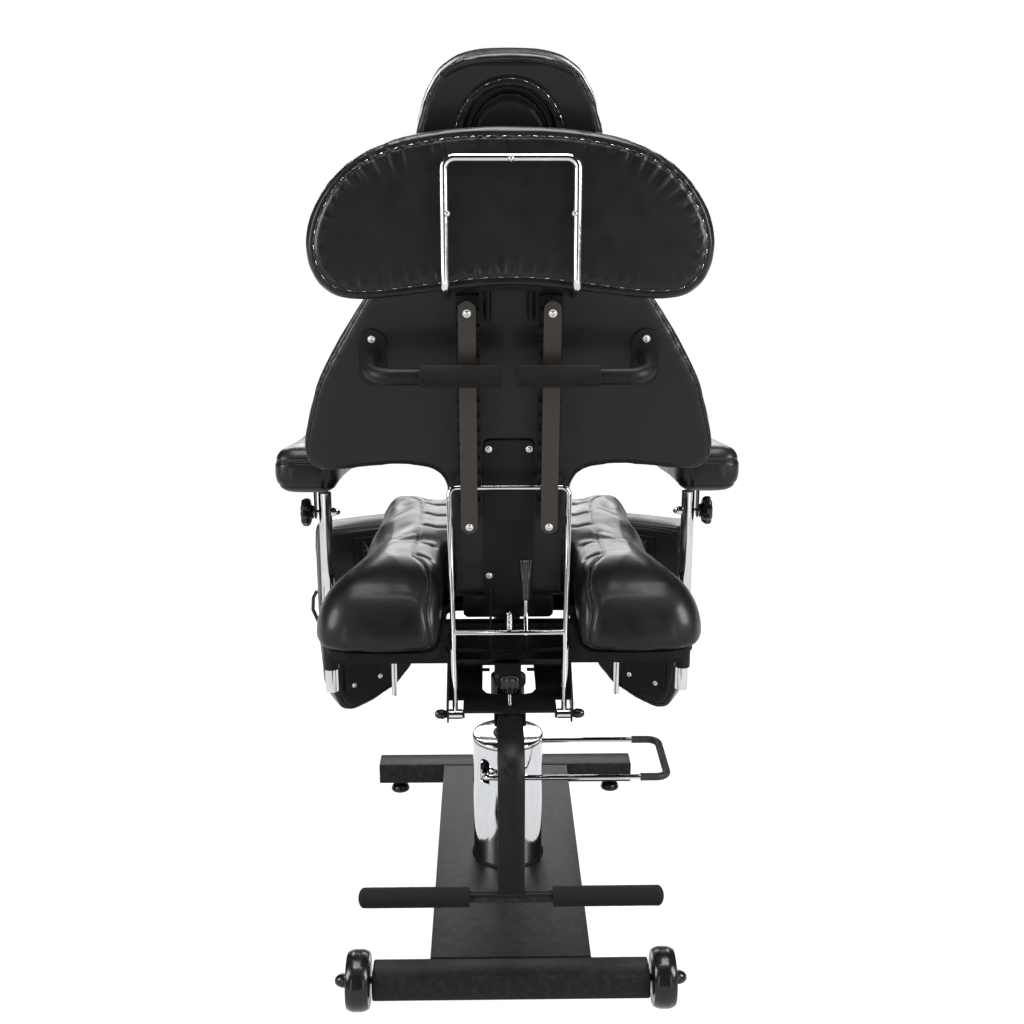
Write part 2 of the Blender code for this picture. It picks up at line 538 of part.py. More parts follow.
def build_footrest():
    y0, y1 = TBAR_Y
    half = TBAR_T / 2
    path = fillet([(0, y1, TBAR_Z), (0, y0, TBAR_Z), (0, y0, TBAR_FOOT_Z)], TBAR_BEND_R, 8)
    upper, lower = [], []
    for i, p in enumerate(path):
        ahead = path[min(i + 1, len(path) - 1)] - path[max(i - 1, 0)]
        normal = Vector((0, -ahead.z, ahead.y)).normalized()
        upper.append(p - normal * half)
        lower.append(p + normal * half)
    outline = [(p.y, p.z) for p in upper + list(reversed(lower))]
    bar = softened(slab(outline, 2 * TBAR_HALF_X, side_plane(TBAR_HALF_X)), 0.002, 1)
    tube = rod(TBAR_TUBE_R, (-TBAR_TUBE_X, y0, TBAR_FOOT_Z), (TBAR_TUBE_X, y0, TBAR_FOOT_Z), 20)
    finish(join(bar, tube), "footrest_bar", "satin")
    x0, x1 = TBAR_GRIP_X
    profile = [(0.0, x1), (0.008, x1 - 0.001), (0.014, x1 - 0.005), (TBAR_GRIP_R, x1 - 0.012),
               (TBAR_GRIP_R, x0 + 0.003),
               (TBAR_GRIP_R - 0.003, x0), (TBAR_TUBE_R + GAP, x0), (TBAR_TUBE_R + GAP, TBAR_TUBE_X + GAP),
               (0.0, TBAR_TUBE_X + GAP)]
    for side, word in ((-1, "left"), (1, "right")):
        turn = along_x(0, y0, TBAR_FOOT_Z) @ (Matrix.Identity(4) if side > 0 else Matrix.Rotation(math.pi,
                                                                                                  4, "X"))
        finish(lathe(profile, 24, turn), "footrest_grip_" + word, "foam")
    low, high = CLAMP_KNOB_Z
    knob = star(CLAMP_KNOB_R, high - low, 6, 30, Matrix.Translation((0, STUD_Y, high)))
    stud = rod(STUD_R, (0, STUD_Y, TBAR_Z + half + GAP), (0, STUD_Y, low + 0.005))
    boss = rod(0.011, (0, STUD_Y, low - 0.012), (0, STUD_Y, low + 0.005))
    finish(join(knob, boss, stud), "clamp_knob", "gloss")


def build_backrest():
    pad = slab(mirrored(BACK_HALF), BACK_T, back_plane())
    finish(softened(pad, BACK_BEVEL, 2), "backrest_pad", "leather")
    w = HPLATE_HALF_X
    v0, v1 = HPLATE_V
    outline = [(-w, v0), (w, v0), (w, v1 - 0.010), (w - 0.003, v1 - 0.003), (w - 0.010, v1),
               (-w + 0.010, v1),
               (-w + 0.003, v1 - 0.003), (-w, v1 - 0.010)]
    plate = slab(outline, HPLATE_T, back_plane(HPLATE_T + GAP))
    for side in (-1, 1):
        edge = EAR_X[1] if side > 0 else -EAR_X[0]
        turn = back_plane() @ Matrix(((0, 0, -1, -edge), (1, 0, 0, 0), (0, 1, 0, 0), (0, 0, 0, 1)))
        plate = join(plate, slab(EAR_SIDE, EAR_X[1] - EAR_X[0], turn))
    plate = cut(plate, rod(HINGE_PIN_R + GAP, (-0.1, *HINGE), (0.1, *HINGE)))
    plate = cut(plate, trim_front())
    finish(plate, "hinge_plate", "satin", False)
    for side, word in ((-1, "left"), (1, "right")):
        build_rack(side, word)
        build_handle(side, word)


def trim_front():
    """A cutter for what would reach into the cushion."""
    return slab([(-0.1, -0.1), (0.1, -0.1), (0.1, 0.5), (-0.1, 0.5)], 0.05, back_plane(GAP))


def build_rack(side, word):
    v0, v1 = RACK_V
    base = RACK_BASE + GAP
    outline = [(v0, GAP), (v0, base)]
    v = v0 + RACK_START
    while v + RACK_PITCH < v1 - 0.003:
        outline += [(v, base), (v + 0.004, base + RACK_TOOTH), (v + 0.016, base + RACK_TOOTH),
                    (v + 0.016, base)]
        v += RACK_PITCH
    outline += [(v1, base), (v1, GAP)]
    edge = side * RACK_X + RACK_HALF_X
    turn = back_plane() @ Matrix(((0, 0, -1, -edge), (1, 0, 0, 0), (0, 1, 0, 0), (0, 0, 0, 1)))
    rack = slab(outline, 2 * RACK_HALF_X, turn)
    finish(rack, "rack_" + word, "satin", False)
    centre, r = side * RACK_X, STRAP_HALF_X
    s0, s1 = STRAP_V
    ends = [(s1 - r, 0.0, math.pi), (s0 + r, math.pi, math.tau)]
    outline = []
    for v, a0, a1 in ends:
        outline += [(centre + r * math.cos(a0 + (a1 - a0) * k / 8), v + r * math.sin(a0 + (a1 - a0) * k / 8))
                    for k in range(9)]
    turn = back_plane(STRAP_N[1])
    strap = slab([(-x, v) for x, v in outline], STRAP_N[1] - STRAP_N[0], turn)
    posts = []
    for v in STRAP_POST_V:
        foot = on_back(centre, v, base + GAP)
        posts.append(rod(STRAP_POST_R, foot, on_back(centre, v, STRAP_N[0] + 0.001), 12))
    finish(join(strap, *posts), "strap_" + word, "strap", False)


def build_handle(side, word):
    w, r = HANDLE_HALF_X, HANDLE_HALF_X
    outline = []
    for v, a0 in ((HANDLE_V + HANDLE_HALF_V - r, 0.0), (HANDLE_V - HANDLE_HALF_V + r, math.pi)):
        outline += [(side * HANDLE_X + w * math.cos(a0 + math.pi * k / 10),
                     v + r * math.sin(a0 + math.pi * k / 10))
                    for k in range(11)]
    plate = slab([(-x, v) for x, v in outline], 0.004, back_plane(0.004 + GAP))
    x = side * HANDLE_X
    path = [on_back(x, HANDLE_V, 0.002), on_back(x, HANDLE_V, HANDLE_N),
            on_back(side * 0.009, HANDLE_V, HANDLE_N)]
    tube = wire(fillet(path, 0.036, 6), HANDLE_R, 4)
    finish(join(plate, tube), "handle_" + word, "satin")
    x0, x1 = HANDLE_GRIP_X
    profile = [(0.0, x0), (0.012, x0), (HANDLE_GRIP_R, x0 + 0.004), (HANDLE_GRIP_R, x1 - 0.003),
               (HANDLE_GRIP_R - 0.003, x1), (HANDLE_R + GAP, x1), (HANDLE_R + GAP, 0.009 - GAP),
               (0.0, 0.009 - GAP)]
    start = on_back(0, HANDLE_V, HANDLE_N)
    turn = along_x(*start) @ (Matrix.Identity(4) if side > 0 else Matrix.Rotation(math.pi, 4, "X"))
    finish(lathe(list(reversed(profile)), 24, turn), "handle_grip_" + word, "foam")


def build_prop():
    foot = Vector((0, *PROP_PIVOT))
    top = on_back(0, PROP_BAR_V, PROP_BAR_N)
    up = (top - foot).normalized()
    length = (top - foot).length
    wide = Vector((1, 0, 0))
    path = [foot - wide * PROP_FOOT_X, top - wide * PROP_TOP_X, top + wide * PROP_TOP_X,
            foot + wide * PROP_FOOT_X]
    frame = wire(fillet(path, 0.014, 5), PROP_ROD_R, 3)
    share = PROP_CROSS_R / length
    half = PROP_FOOT_X + (PROP_TOP_X - PROP_FOOT_X) * share
    cross = foot + up * PROP_CROSS_R
    frame = join(frame, rod(PROP_ROD_R - 0.0004, cross - wide * half, cross + wide * half, 12))
    lever = wide * LEVER_X
    frame = join(frame, rod(0.0042, foot + lever + up * (LEVER_ROD[0] - 0.004),
                            foot + lever + up * LEVER_ROD[1], 12))
    for side in (-1, 1):
        x0, x1 = PROP_SLEEVE_X
        sleeve = rod(PROP_SLEEVE_R, foot + wide * side * x0, foot + wide * side * x1, 20)
        frame = join(frame, sleeve)
        frame = cut(frame, rod(BOLT_R + GAP, foot + wide * side * 0.07, foot + wide * side * 0.12, 16))
    finish(frame, "prop_frame", "chrome")
    g0, g1 = LEVER_ROD[1] + GAP, LEVER_GRIP_END
    r = LEVER_GRIP_R
    profile = [(0.0, g1), (r * 0.6, g1 - 0.001), (r * 0.95, g1 - 0.005), (r, g1 - 0.012),
               (r * 0.68, g0 + 0.010),
               (r * 0.62, g0), (0.0, g0)]
    turn = up.to_track_quat("Z", "Y").to_matrix().to_4x4()
    grip = lathe(profile, 16, Matrix.Translation(foot + lever) @ turn)
    finish(grip, "prop_grip", "gloss")
    start = cross + up * (PROP_ROD_R + GAP + SPRING_WIRE_R)
    coil = []
    for k in range(SPRING_TURNS * 8 + 1):
        a = math.tau * k / 8
        local = Vector((SPRING_R * math.cos(a), SPRING_R * math.sin(a),
                        SPRING_LENGTH * k / (SPRING_TURNS * 8)))
        coil.append(start + turn.to_3x3() @ local)
    finish(wire(coil, SPRING_WIRE_R, 0), "prop_spring", "chrome")


def build_head():
    facing = Matrix(((-1, 0, 0, 0), (0, 0, -1, BEAN_Y), (0, 1, 0, 0), (0, 0, 0, 1)))
    bean = slab(mirrored(BEAN_HALF), BEAN_T, facing)
    finish(softened(bean, BEAN_BEVEL, 2), "bean_pad", "leather")
    y = BEAN_Y - BEANBAR_R - GAP
    ends = [on_back(side * BEANBAR_X, BEANBAR_V, 0.006) for side in (-1, 1)]
    rear = Vector((0, -math.cos(LEAN), -math.sin(LEAN)))
    down = []
    for end in ends:
        down.append(end + rear * ((y - end.y) / rear.y))
    path = [ends[0], down[0], (-BEANBAR_X, y, BEANBAR_TOP), (BEANBAR_X, y, BEANBAR_TOP), down[1], ends[1]]
    finish(wire(fillet(path, 0.016, 5), BEANBAR_R, 3), "bean_bar", "chrome")
    v0, v1 = SOCKET_V
    plate = slab(mirrored(SOCKET_HALF), 0.003, back_plane(0.003 + GAP))
    block = slab([(-SOCKET_HALF_X, v0), (SOCKET_HALF_X, v0), (SOCKET_HALF_X, v1), (-SOCKET_HALF_X, v1)],
                 SOCKET_N - 0.001, back_plane(SOCKET_N))
    plate = join(plate, block)
    for side in (-1, 1):
        x = side * BEANBAR_X
        plate = join(plate, rod(0.0105, on_back(x, BEANBAR_V, 0.002), on_back(x, BEANBAR_V, 0.032), 20))
        plate = cut(plate, rod(BEANBAR_R + GAP, on_back(x, BEANBAR_V, 0.0045),
                               on_back(x, BEANBAR_V, 0.05), 20))
        x = side * HEADROD_X
        plate = cut(plate, rod(HEADROD_R + GAP, on_back(x, 0.6, HEADROD_N), on_back(x, 0.8, HEADROD_N), 20))
    finish(plate, "head_socket", "satin")
    v0, v1 = HEADROD_V
    w = HEADROD_X
    path = [on_back(-w, v0, HEADROD_N), on_back(-w, v1, HEADROD_N), on_back(w, v1, HEADROD_N),
            on_back(w, v0, HEADROD_N)]
    finish(wire(fillet(path, 0.010, 4), HEADROD_R, 3), "head_rods", "chrome")
    plate = slab([(-0.045, v1 - 0.022), (0.045, v1 - 0.022), (0.045, v1 - 0.004 + 0.02),
                  (-0.045, v1 + 0.016)],
                 0.003, back_plane(0.003 + GAP))
    a, b = on_back(-0.020, v1, HEADROD_N), on_back(0.020, v1, HEADROD_N)
    plate = join(plate, rod(0.0105, a, b, 20))
    wide = Vector((0.02, 0, 0))
    plate = cut(plate, rod(HEADROD_R + GAP, a - wide, b + wide, 20))
    slots = [rod(0.0125, on_back(s * 0.021, v1, HEADROD_N), on_back(s * 0.07, v1, HEADROD_N),
                 20) for s in (-1, 1)]
    finish(cut(plate, *slots), "head_plate", "satin")
    rx, rv, v = FACE_HOLE
    pad = slab(mirrored(HEAD_HALF), HEAD_T, back_plane(), [ellipse(rx, rv, v)])
    finish(softened(pad, HEAD_BEVEL, 2, 60.0), "headrest_pad", "leather")
    plug = slab(ellipse(*PLUG, v), HEAD_T - 0.020, back_plane(-0.014))
    finish(softened(plug, 0.014, 2, 60.0), "headrest_plug", "leather")


def build_armrests():
    hx, hy, hz = ARM_PAD_HALF
    tilt = Matrix.Rotation(ARM_PAD_TILT, 4, "X")
    for side, word in ((-1, "left"), (1, "right")):
        turn = Matrix.Translation((side * ARM_PAD_X, ARM_PAD_Y, ARM_PAD_Z)) @ tilt
        pad = box((-hx, -hy, -hz), (hx, hy, hz))
        pad.data.transform(turn)
        finish(softened(pad, 0.026, 3), "armrest_pad_" + word, "leather")
        build_arm_bracket(side, word, turn)
        build_arm_post(side, word)


def build_arm_bracket(side, word, turn):
    hz = ARM_PAD_HALF[2]
    under = -hz - GAP
    plate = box((-0.030, -0.130, under - 0.003), (0.030, 0.070, under))
    plate.data.transform(turn)
    x0, x1 = (TAB_X[0], TAB_X[1]) if side > 0 else (-TAB_X[1], -TAB_X[0])
    w = TAB_HALF_Y
    z = ARM_PIVOT_Z
    outline = [(ARM_Y + w * math.cos(a), z + w * math.sin(a)) for a in
               (math.pi * (1 + k / 8) for k in range(9))]
    seam = turn @ Vector((0, 0, under - 0.0015))
    slope = math.tan(ARM_PAD_TILT)
    right = seam.z + (ARM_Y + w - seam.y) * slope
    left = seam.z + (ARM_Y - w - seam.y) * slope
    outline += [(ARM_Y + w, right), (ARM_Y - w, left)]
    tab = slab(outline, x1 - x0, side_plane(x1))
    bracket = join(plate, tab)
    bracket = cut(bracket, rod(BOLT_R + GAP, (x0 - 0.01, ARM_Y, z), (x1 + 0.01, ARM_Y, z)))
    finish(bracket, "arm_bracket_" + word, "satin")


def build_arm_post(side, word):
    z = ARM_PIVOT_Z
    x = side * POST_X
    post = rod(POST_R, (x, ARM_Y, POST_Z[0]), (x, ARM_Y, POST_Z[1]), 24)
    bolt = rod(BOLT_R, (x - side * 0.016, ARM_Y, z), (side * (KNOB_X[1] - 0.006), ARM_Y, z), 16)
    inner = POST_X - POST_R
    cap = [(0.0, inner - 0.016), (0.004, inner - 0.0145), (0.0065, inner - 0.010), (0.0065, inner - 0.006),
           (0.0085, inner - 0.006), (0.0085, inner + 0.001), (0.0, inner + 0.001)]
    turn = along_x(0, ARM_Y, z) @ (Matrix.Identity(4) if side > 0 else Matrix.Rotation(math.pi, 4, "X"))
    nut = lathe(list(reversed(cap)), 12, turn)
    finish(join(post, bolt, nut), "arm_post_" + word, "chrome")
    x0, x1 = KNOB_X
    face = along_x(side * x1, ARM_Y, z) if side > 0 else along_x(side * x1, ARM_Y,
                                                                 z) @ Matrix.Rotation(math.pi, 4, "X")
    knob = star(KNOB_R, x1 - x0, 9, 36, face)
    hole = rod(BOLT_R + GAP, (side * (x0 - 0.01), ARM_Y, z), (side * (x1 - 0.006 + GAP), ARM_Y, z), 16)
    finish(cut(knob, hole), "arm_knob_" + word, "gloss")


def leg_frame(side):
    """Local x across the leg rest (outwards), local y forwards from the splay axis, z up."""
    x, y = LEG_AXIS
    flip = Matrix.Diagonal((side, 1, 1, 1))
    return Matrix.Translation((side * x, y, 0)) @ flip @ Matrix.Rotation(-LEG_SPLAY, 4, "Z")


def build_legs():
    for side, word in ((-1, "left"), (1, "right")):
        place = leg_frame(side)
        x, y = side * LEG_AXIS[0], LEG_AXIS[1]
        bar = rod(LEG_ROD_R, (x, y, LEG_ROD_Z[0]), (x, y, LEG_ROD_Z[1]), 16)
        finish(bar, "leg_rod_" + word, "chrome")
        build_leg_yoke(side, word, place)
        build_leg_plate(side, word, place)
        face = Matrix(((1, 0, 0, 0), (0, 0, -1, LEG_FACE), (0, 1, 0, 0), (0, 0, 0, 1)))
        pad = slab(LEG_OUTLINE, LEG_T, face)
        pad = softened(pad, LEG_BEVEL, 2)
        settle(pad, place)
        finish(pad, "leg_pad_" + word, "leather")


def settle(obj, place):
    """Moves the mesh into the leg's frame and turns its faces outwards again after a mirror."""
    obj.data.transform(place)
    if place.determinant() < 0:
        obj.data.flip_normals()


def build_leg_yoke(side, word, place):
    fwd, z = LEG_PIVOT
    bridge = box((-0.014, -0.013, LEG_SOCKET_Z[1] + GAP), (0.014, fwd, z + 0.009))
    barrel = rod(0.009, (-0.022, fwd, z), (0.022, fwd, z), 20)
    pin = rod(0.004, (-0.036, fwd, z), (0.036, fwd, z), 16)
    bore = rod(LEG_ROD_R + GAP, (0, 0, z - 0.05), (0, 0, LEG_ROD_Z[1] + GAP), 20)
    yoke = cut(join(bridge, barrel, pin), bore)
    settle(yoke, place)
    finish(yoke, "leg_yoke_" + word, "satin")


def build_leg_plate(side, word, place):
    fwd, z = LEG_PIVOT
    w = LEG_PLATE_HALF_X
    z0, z1 = LEG_PLATE_Z
    plate = box((-w, LEG_FACE - GAP - LEG_PLATE_T, z0), (w, LEG_FACE - GAP, z1))
    near = LEG_FACE - GAP - LEG_PLATE_T + 0.001
    for x in (-0.026, 0.030):
        ear = slab([(near, z + 0.016), (fwd, z + 0.010), (fwd - 0.009, z), (fwd, z - 0.010),
                    (near, z - 0.030)], 0.004,
                   side_plane(x))
        plate = join(plate, ear)
    plate = cut(plate, rod(0.004 + GAP, (-0.06, fwd, z), (0.06, fwd, z), 16))
    settle(plate, place)
    finish(plate, "leg_plate_" + word, "satin", False)


def set_origin(point, *names):
    """Puts the origin of each named piece at the point, without moving its faces."""
    for name in names:
        piece = parts.objects[name]
        piece.data.transform(Matrix.Translation(-Vector(point)))
        piece.location = point


def place_origins():
    """Puts every moving piece's origin on its joint's axis, so that it turns as the chair does."""
    set_origin((0, COLUMN_Y, RAM_Z[1]), "lift_ram", "seat_frame", "release_lever", "seat_pad", "seat_board",
               "tail_bracket", "hinge_pin", "prop_bolt_left", "prop_bolt_right")
    set_origin((PEDAL_AXIS[0], COLUMN_Y, PEDAL_AXIS[1]), "pedal_rod", "pedal_sleeve")
    set_origin((0, TBAR_Y[0], TBAR_FOOT_Z), "footrest_bar", "footrest_grip_left", "footrest_grip_right")
    set_origin((0, STUD_Y, CLAMP_KNOB_Z[0]), "clamp_knob")
    set_origin((0, *HINGE), "backrest_pad", "hinge_plate", "rack_left", "rack_right", "strap_left",
               "strap_right",
               "handle_left", "handle_right", "handle_grip_left", "handle_grip_right", "head_socket")
    set_origin((0, *PROP_PIVOT), "prop_frame", "prop_grip", "prop_spring")
    set_origin((0, BEAN_Y, BEANBAR_TOP), "bean_pad", "bean_bar")
    set_origin(on_back(0, HEADROD_V[1], HEADROD_N), "head_rods", "head_plate", "headrest_pad",
               "headrest_plug")
    middle = PLATE_HALF_Y + GAP + BAR_HALF_DEPTH
    for side, word in ((-1, "_left"), (1, "_right")):
        set_origin((side * GLIDE_X, middle, 0), "glide" + word)
        set_origin((side * WHEEL_X[0], -middle, WHEEL_R), "wheel" + word)
        set_origin((side * POST_X, ARM_Y, ARM_PIVOT_Z), "arm_post" + word)
        set_origin((side * TAB_X[0], ARM_Y, ARM_PIVOT_Z), "armrest_pad" + word, "arm_bracket" + word)
        set_origin((side * KNOB_X[0], ARM_Y, ARM_PIVOT_Z), "arm_knob" + word)
        set_origin((side * LEG_AXIS[0], LEG_AXIS[1], LEG_PIVOT[1]), "leg_yoke" + word, "leg_rod" + word)
        pivot = leg_frame(side) @ Vector((0, *LEG_PIVOT))
        set_origin(pivot, "leg_plate" + word, "leg_pad" + word)


build_base()
build_column()
build_pedal()
build_seat_frame()
build_seat()
build_tail()
build_footrest()
build_backrest()
build_prop()
build_head()
build_armrests()
build_legs()
place_origins()
for piece in parts.objects:
    piece.location.y += ORIGIN_Y
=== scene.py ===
"""Looks of the hydraulic treatment chair: leather cushions, chrome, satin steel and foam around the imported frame."""

import json
import math

import bmesh
import bpy
import numpy as np
from mathutils import Matrix, Vector
from mathutils.bvhtree import BVHTree
from mathutils.kdtree import KDTree

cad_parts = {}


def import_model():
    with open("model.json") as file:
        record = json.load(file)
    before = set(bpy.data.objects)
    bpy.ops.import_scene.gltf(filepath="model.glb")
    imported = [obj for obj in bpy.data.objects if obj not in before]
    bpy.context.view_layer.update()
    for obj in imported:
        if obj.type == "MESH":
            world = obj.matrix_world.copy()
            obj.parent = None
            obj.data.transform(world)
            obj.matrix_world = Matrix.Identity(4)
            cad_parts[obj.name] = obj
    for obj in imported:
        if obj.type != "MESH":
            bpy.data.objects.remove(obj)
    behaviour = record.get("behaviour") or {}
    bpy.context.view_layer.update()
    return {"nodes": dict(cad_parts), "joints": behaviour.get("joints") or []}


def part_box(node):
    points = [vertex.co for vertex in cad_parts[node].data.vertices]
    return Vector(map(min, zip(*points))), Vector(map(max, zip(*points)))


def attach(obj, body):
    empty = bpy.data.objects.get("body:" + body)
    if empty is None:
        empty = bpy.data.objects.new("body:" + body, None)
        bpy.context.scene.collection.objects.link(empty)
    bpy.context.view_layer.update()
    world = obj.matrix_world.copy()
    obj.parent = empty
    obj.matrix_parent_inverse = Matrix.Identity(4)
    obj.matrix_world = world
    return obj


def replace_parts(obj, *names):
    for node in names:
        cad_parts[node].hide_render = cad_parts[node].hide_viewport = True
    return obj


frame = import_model()
NODES = frame["nodes"]
PIVOT = {j["name"]: Vector(j["pos_m"]) for j in frame["joints"] if "pos_m" in j}
SIDES = ((-1, "_left"), (1, "_right"))

# Directions and places shared by several pieces
LEAN = math.radians(12.0)
UP = Vector((0, -math.sin(LEAN), math.cos(LEAN)))
REAR = Vector((0, -math.cos(LEAN), -math.sin(LEAN)))
HINGE = PIVOT["backrest_recline"]
HINGE_BACK = 0.053
LEG_SPLAY = math.radians(25.0)
LEG_FACE = 0.100
SIM_FRAMES = 20


def basis(x, y, z, origin):
    """A matrix from its three axes and origin."""
    rows = [[x[i], y[i], z[i], origin[i]] for i in range(3)]
    return Matrix([*rows, [0, 0, 0, 1]])


BACK = basis(Vector((1, 0, 0)), UP, REAR, HINGE - REAR * HINGE_BACK)
BEAN = basis((1, 0, 0), (0, 0, 1), (0, -1, 0), (0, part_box("bean_pad")[0].y, 0))


def leg_frame(side):
    """Local x across the leg rest, y up, z rearwards from its back face; x runs outwards on both sides."""
    splay = side * LEG_SPLAY
    out = Vector((side * math.cos(splay), -math.sin(abs(splay)), 0))
    forward = Vector((side * math.sin(abs(splay)), math.cos(splay), 0))
    pivot = PIVOT["leg_splay" + dict(SIDES)[side]]
    return basis(out, (0, 0, 1), -forward, Vector((pivot.x, pivot.y, 0)) + forward * LEG_FACE)


# Materials


def add(tree, kind, inputs=None, **settings):
    made = tree.nodes.new(kind)
    for key, value in settings.items():
        setattr(made, key, value)
    for key, value in (inputs or {}).items():
        if isinstance(value, bpy.types.NodeSocket):
            tree.links.new(value, made.inputs[key])
        else:
            made.inputs[key].default_value = value
    return made


def place(tree, scale=(1, 1, 1)):
    """Object coordinates, stretched."""
    coords = add(tree, "ShaderNodeTexCoord")
    return add(tree, "ShaderNodeMapping", {"Vector": coords.outputs["Object"], "Scale": scale}).outputs[0]


def noise(tree, scale, detail=3.0, rough=0.5, stretch=(1, 1, 1)):
    made = add(tree, "ShaderNodeTexNoise", {"Vector": place(tree, stretch), "Scale": scale, "Detail": detail,
                                           "Roughness": rough})
    return made.outputs["Fac"]


def cells(tree, scale, feature="F1", stretch=(1, 1, 1)):
    made = add(tree, "ShaderNodeTexVoronoi", {"Vector": place(tree, stretch), "Scale": scale}, feature=feature)
    return made.outputs["Distance"]


def spread(tree, value, low, high, start=0.3, end=0.7):
    """The value from start to end, drawn out to run from low to high."""
    made = add(tree, "ShaderNodeMapRange", {"Value": value, "From Min": start, "From Max": end, "To Min": low,
                                            "To Max": high})
    return made.outputs["Result"]


def blend_colour(tree, factor, first, second):
    made = add(tree, "ShaderNodeMix", {"Factor": factor}, data_type="RGBA")
    for socket, value in ((made.inputs[6], first), (made.inputs[7], second)):
        socket.default_value = (*value, 1)
    return made.outputs[2]


def bumps(tree, shader, layers):
    """Stacks bump layers of (height, distance, strength)."""
    normal = None
    for height, distance, strength in layers:
        inputs = {"Height": height, "Distance": distance, "Strength": strength}
        if normal is not None:
            inputs["Normal"] = normal
        normal = add(tree, "ShaderNodeBump", inputs).outputs["Normal"]
    tree.links.new(normal, shader.inputs["Normal"])


def material(name, metallic=0.0, **constants):
    mat = bpy.data.materials.new(name)
    mat.use_nodes = True
    shader = mat.node_tree.nodes["Principled BSDF"]
    shader.inputs["Metallic"].default_value = metallic
    for key, value in constants.items():
        shader.inputs[key.replace("_", " ")].default_value = value
    return mat, mat.node_tree, shader


def surface(tree, shader, colour, roughness):
    tree.links.new(colour, shader.inputs["Base Color"])
    tree.links.new(roughness, shader.inputs["Roughness"])


def edge_wear(tree, base, worn):
    """Blends to the worn colour on the sharpest outer edges, broken up by noise."""
    point = add(tree, "ShaderNodeNewGeometry").outputs["Pointiness"]
    edge = spread(tree, point, 0.0, 1.0, 0.54, 0.66)
    broken = spread(tree, noise(tree, 90.0, 4.0), 0.0, 1.0, 0.45, 0.65)
    both = add(tree, "ShaderNodeMath", {0: edge, 1: broken}, operation="MULTIPLY").outputs[0]
    made = add(tree, "ShaderNodeMix", {"Factor": both}, data_type="RGBA")
    tree.links.new(base, made.inputs[6])
    made.inputs[7].default_value = (*worn, 1)
    return made.outputs[2]


def leather(name, wrinkle):
    """Black leatherette: fine pebble grain over soft creases, gloss that varies from place to place."""
    mat, tree, shader = material(name, Coat_Weight=0.10, Coat_Roughness=0.16, Specular_IOR_Level=0.19)
    tone = blend_colour(tree, noise(tree, 9.0, 5.0), (0.0030, 0.0030, 0.0032), (0.0070, 0.0070, 0.0070))
    surface(tree, shader, tone, spread(tree, noise(tree, 32.0, 5.0), 0.33, 0.47))
    grain = cells(tree, 620.0, "SMOOTH_F1")
    pores = cells(tree, 1500.0)
    crease = noise(tree, 17.0, 6.0, 0.6, (1, 1, 0.6))
    fine = noise(tree, 75.0, 4.0, 0.55)
    bumps(tree, shader, [(crease, 0.004, 0.10 * wrinkle), (fine, 0.0012, 0.10 * wrinkle), (grain, 0.0005, 0.22),
                         (pores, 0.0002, 0.12)])
    return mat


def satin():
    """Black powder coat with an even fine texture."""
    mat, tree, shader = material("satin_steel", Specular_IOR_Level=0.15)
    base = blend_colour(tree, noise(tree, 12.0, 4.0), (0.0046, 0.0048, 0.0053), (0.0060, 0.0062, 0.0068))
    surface(tree, shader, edge_wear(tree, base, (0.03, 0.03, 0.032)), spread(tree, noise(tree, 40.0, 5.0), 0.42, 0.45))
    bumps(tree, shader, [(noise(tree, 6.0, 2.0), 0.001, 0.03), (noise(tree, 1300.0, 2.0), 0.00025, 0.22)])
    return mat


def chrome(name, streak=(1, 1, 1)):
    """Polished chrome with faint smears and a barely uneven surface."""
    mat, tree, shader = material(name, metallic=1.0)
    tone = blend_colour(tree, noise(tree, 30.0, 4.0, 0.6, streak), (0.43, 0.44, 0.46), (0.66, 0.67, 0.68))
    surface(tree, shader, tone, spread(tree, noise(tree, 55.0, 6.0, 0.6, streak), 0.045, 0.15))
    bumps(tree, shader, [(noise(tree, 22.0, 2.0, 0.5, streak), 0.0008, 0.10), (noise(tree, 700.0, 2.0), 0.0001, 0.04)])
    return mat


def zinc():
    mat, tree, shader = material("zinc", metallic=1.0)
    tone = blend_colour(tree, noise(tree, 160.0, 5.0), (0.46, 0.45, 0.43), (0.74, 0.74, 0.73))
    surface(tree, shader, tone, spread(tree, noise(tree, 300.0, 4.0), 0.20, 0.38))
    bumps(tree, shader, [(noise(tree, 900.0, 3.0), 0.0002, 0.18)])
    return mat


def brown_strap():
    """Dark brown painted strap with long brushed streaks."""
    mat, tree, shader = material("brown_strap", metallic=0.35)
    tone = blend_colour(tree, noise(tree, 60.0, 6.0, 0.7, (9, 1, 1)), (0.011, 0.0088, 0.007), (0.040, 0.031, 0.025))
    surface(tree, shader, edge_wear(tree, tone, (0.12, 0.10, 0.09)), spread(tree, noise(tree, 60.0, 5.0), 0.30, 0.48))
    bumps(tree, shader, [(noise(tree, 260.0, 4.0, 0.6, (8, 1, 1)), 0.0003, 0.25)])
    return mat


def foam():
    """Matte closed-cell foam."""
    mat, tree, shader = material("foam_grip", Sheen_Weight=0.03, Sheen_Roughness=0.6, Specular_IOR_Level=0.12)
    tone = blend_colour(tree, noise(tree, 220.0, 5.0), (0.0035, 0.0035, 0.004), (0.009, 0.009, 0.010))
    surface(tree, shader, tone, spread(tree, noise(tree, 300.0, 3.0), 0.70, 0.92))
    bumps(tree, shader, [(cells(tree, 850.0), 0.0005, 0.55), (noise(tree, 70.0, 4.0), 0.001, 0.15)])
    return mat


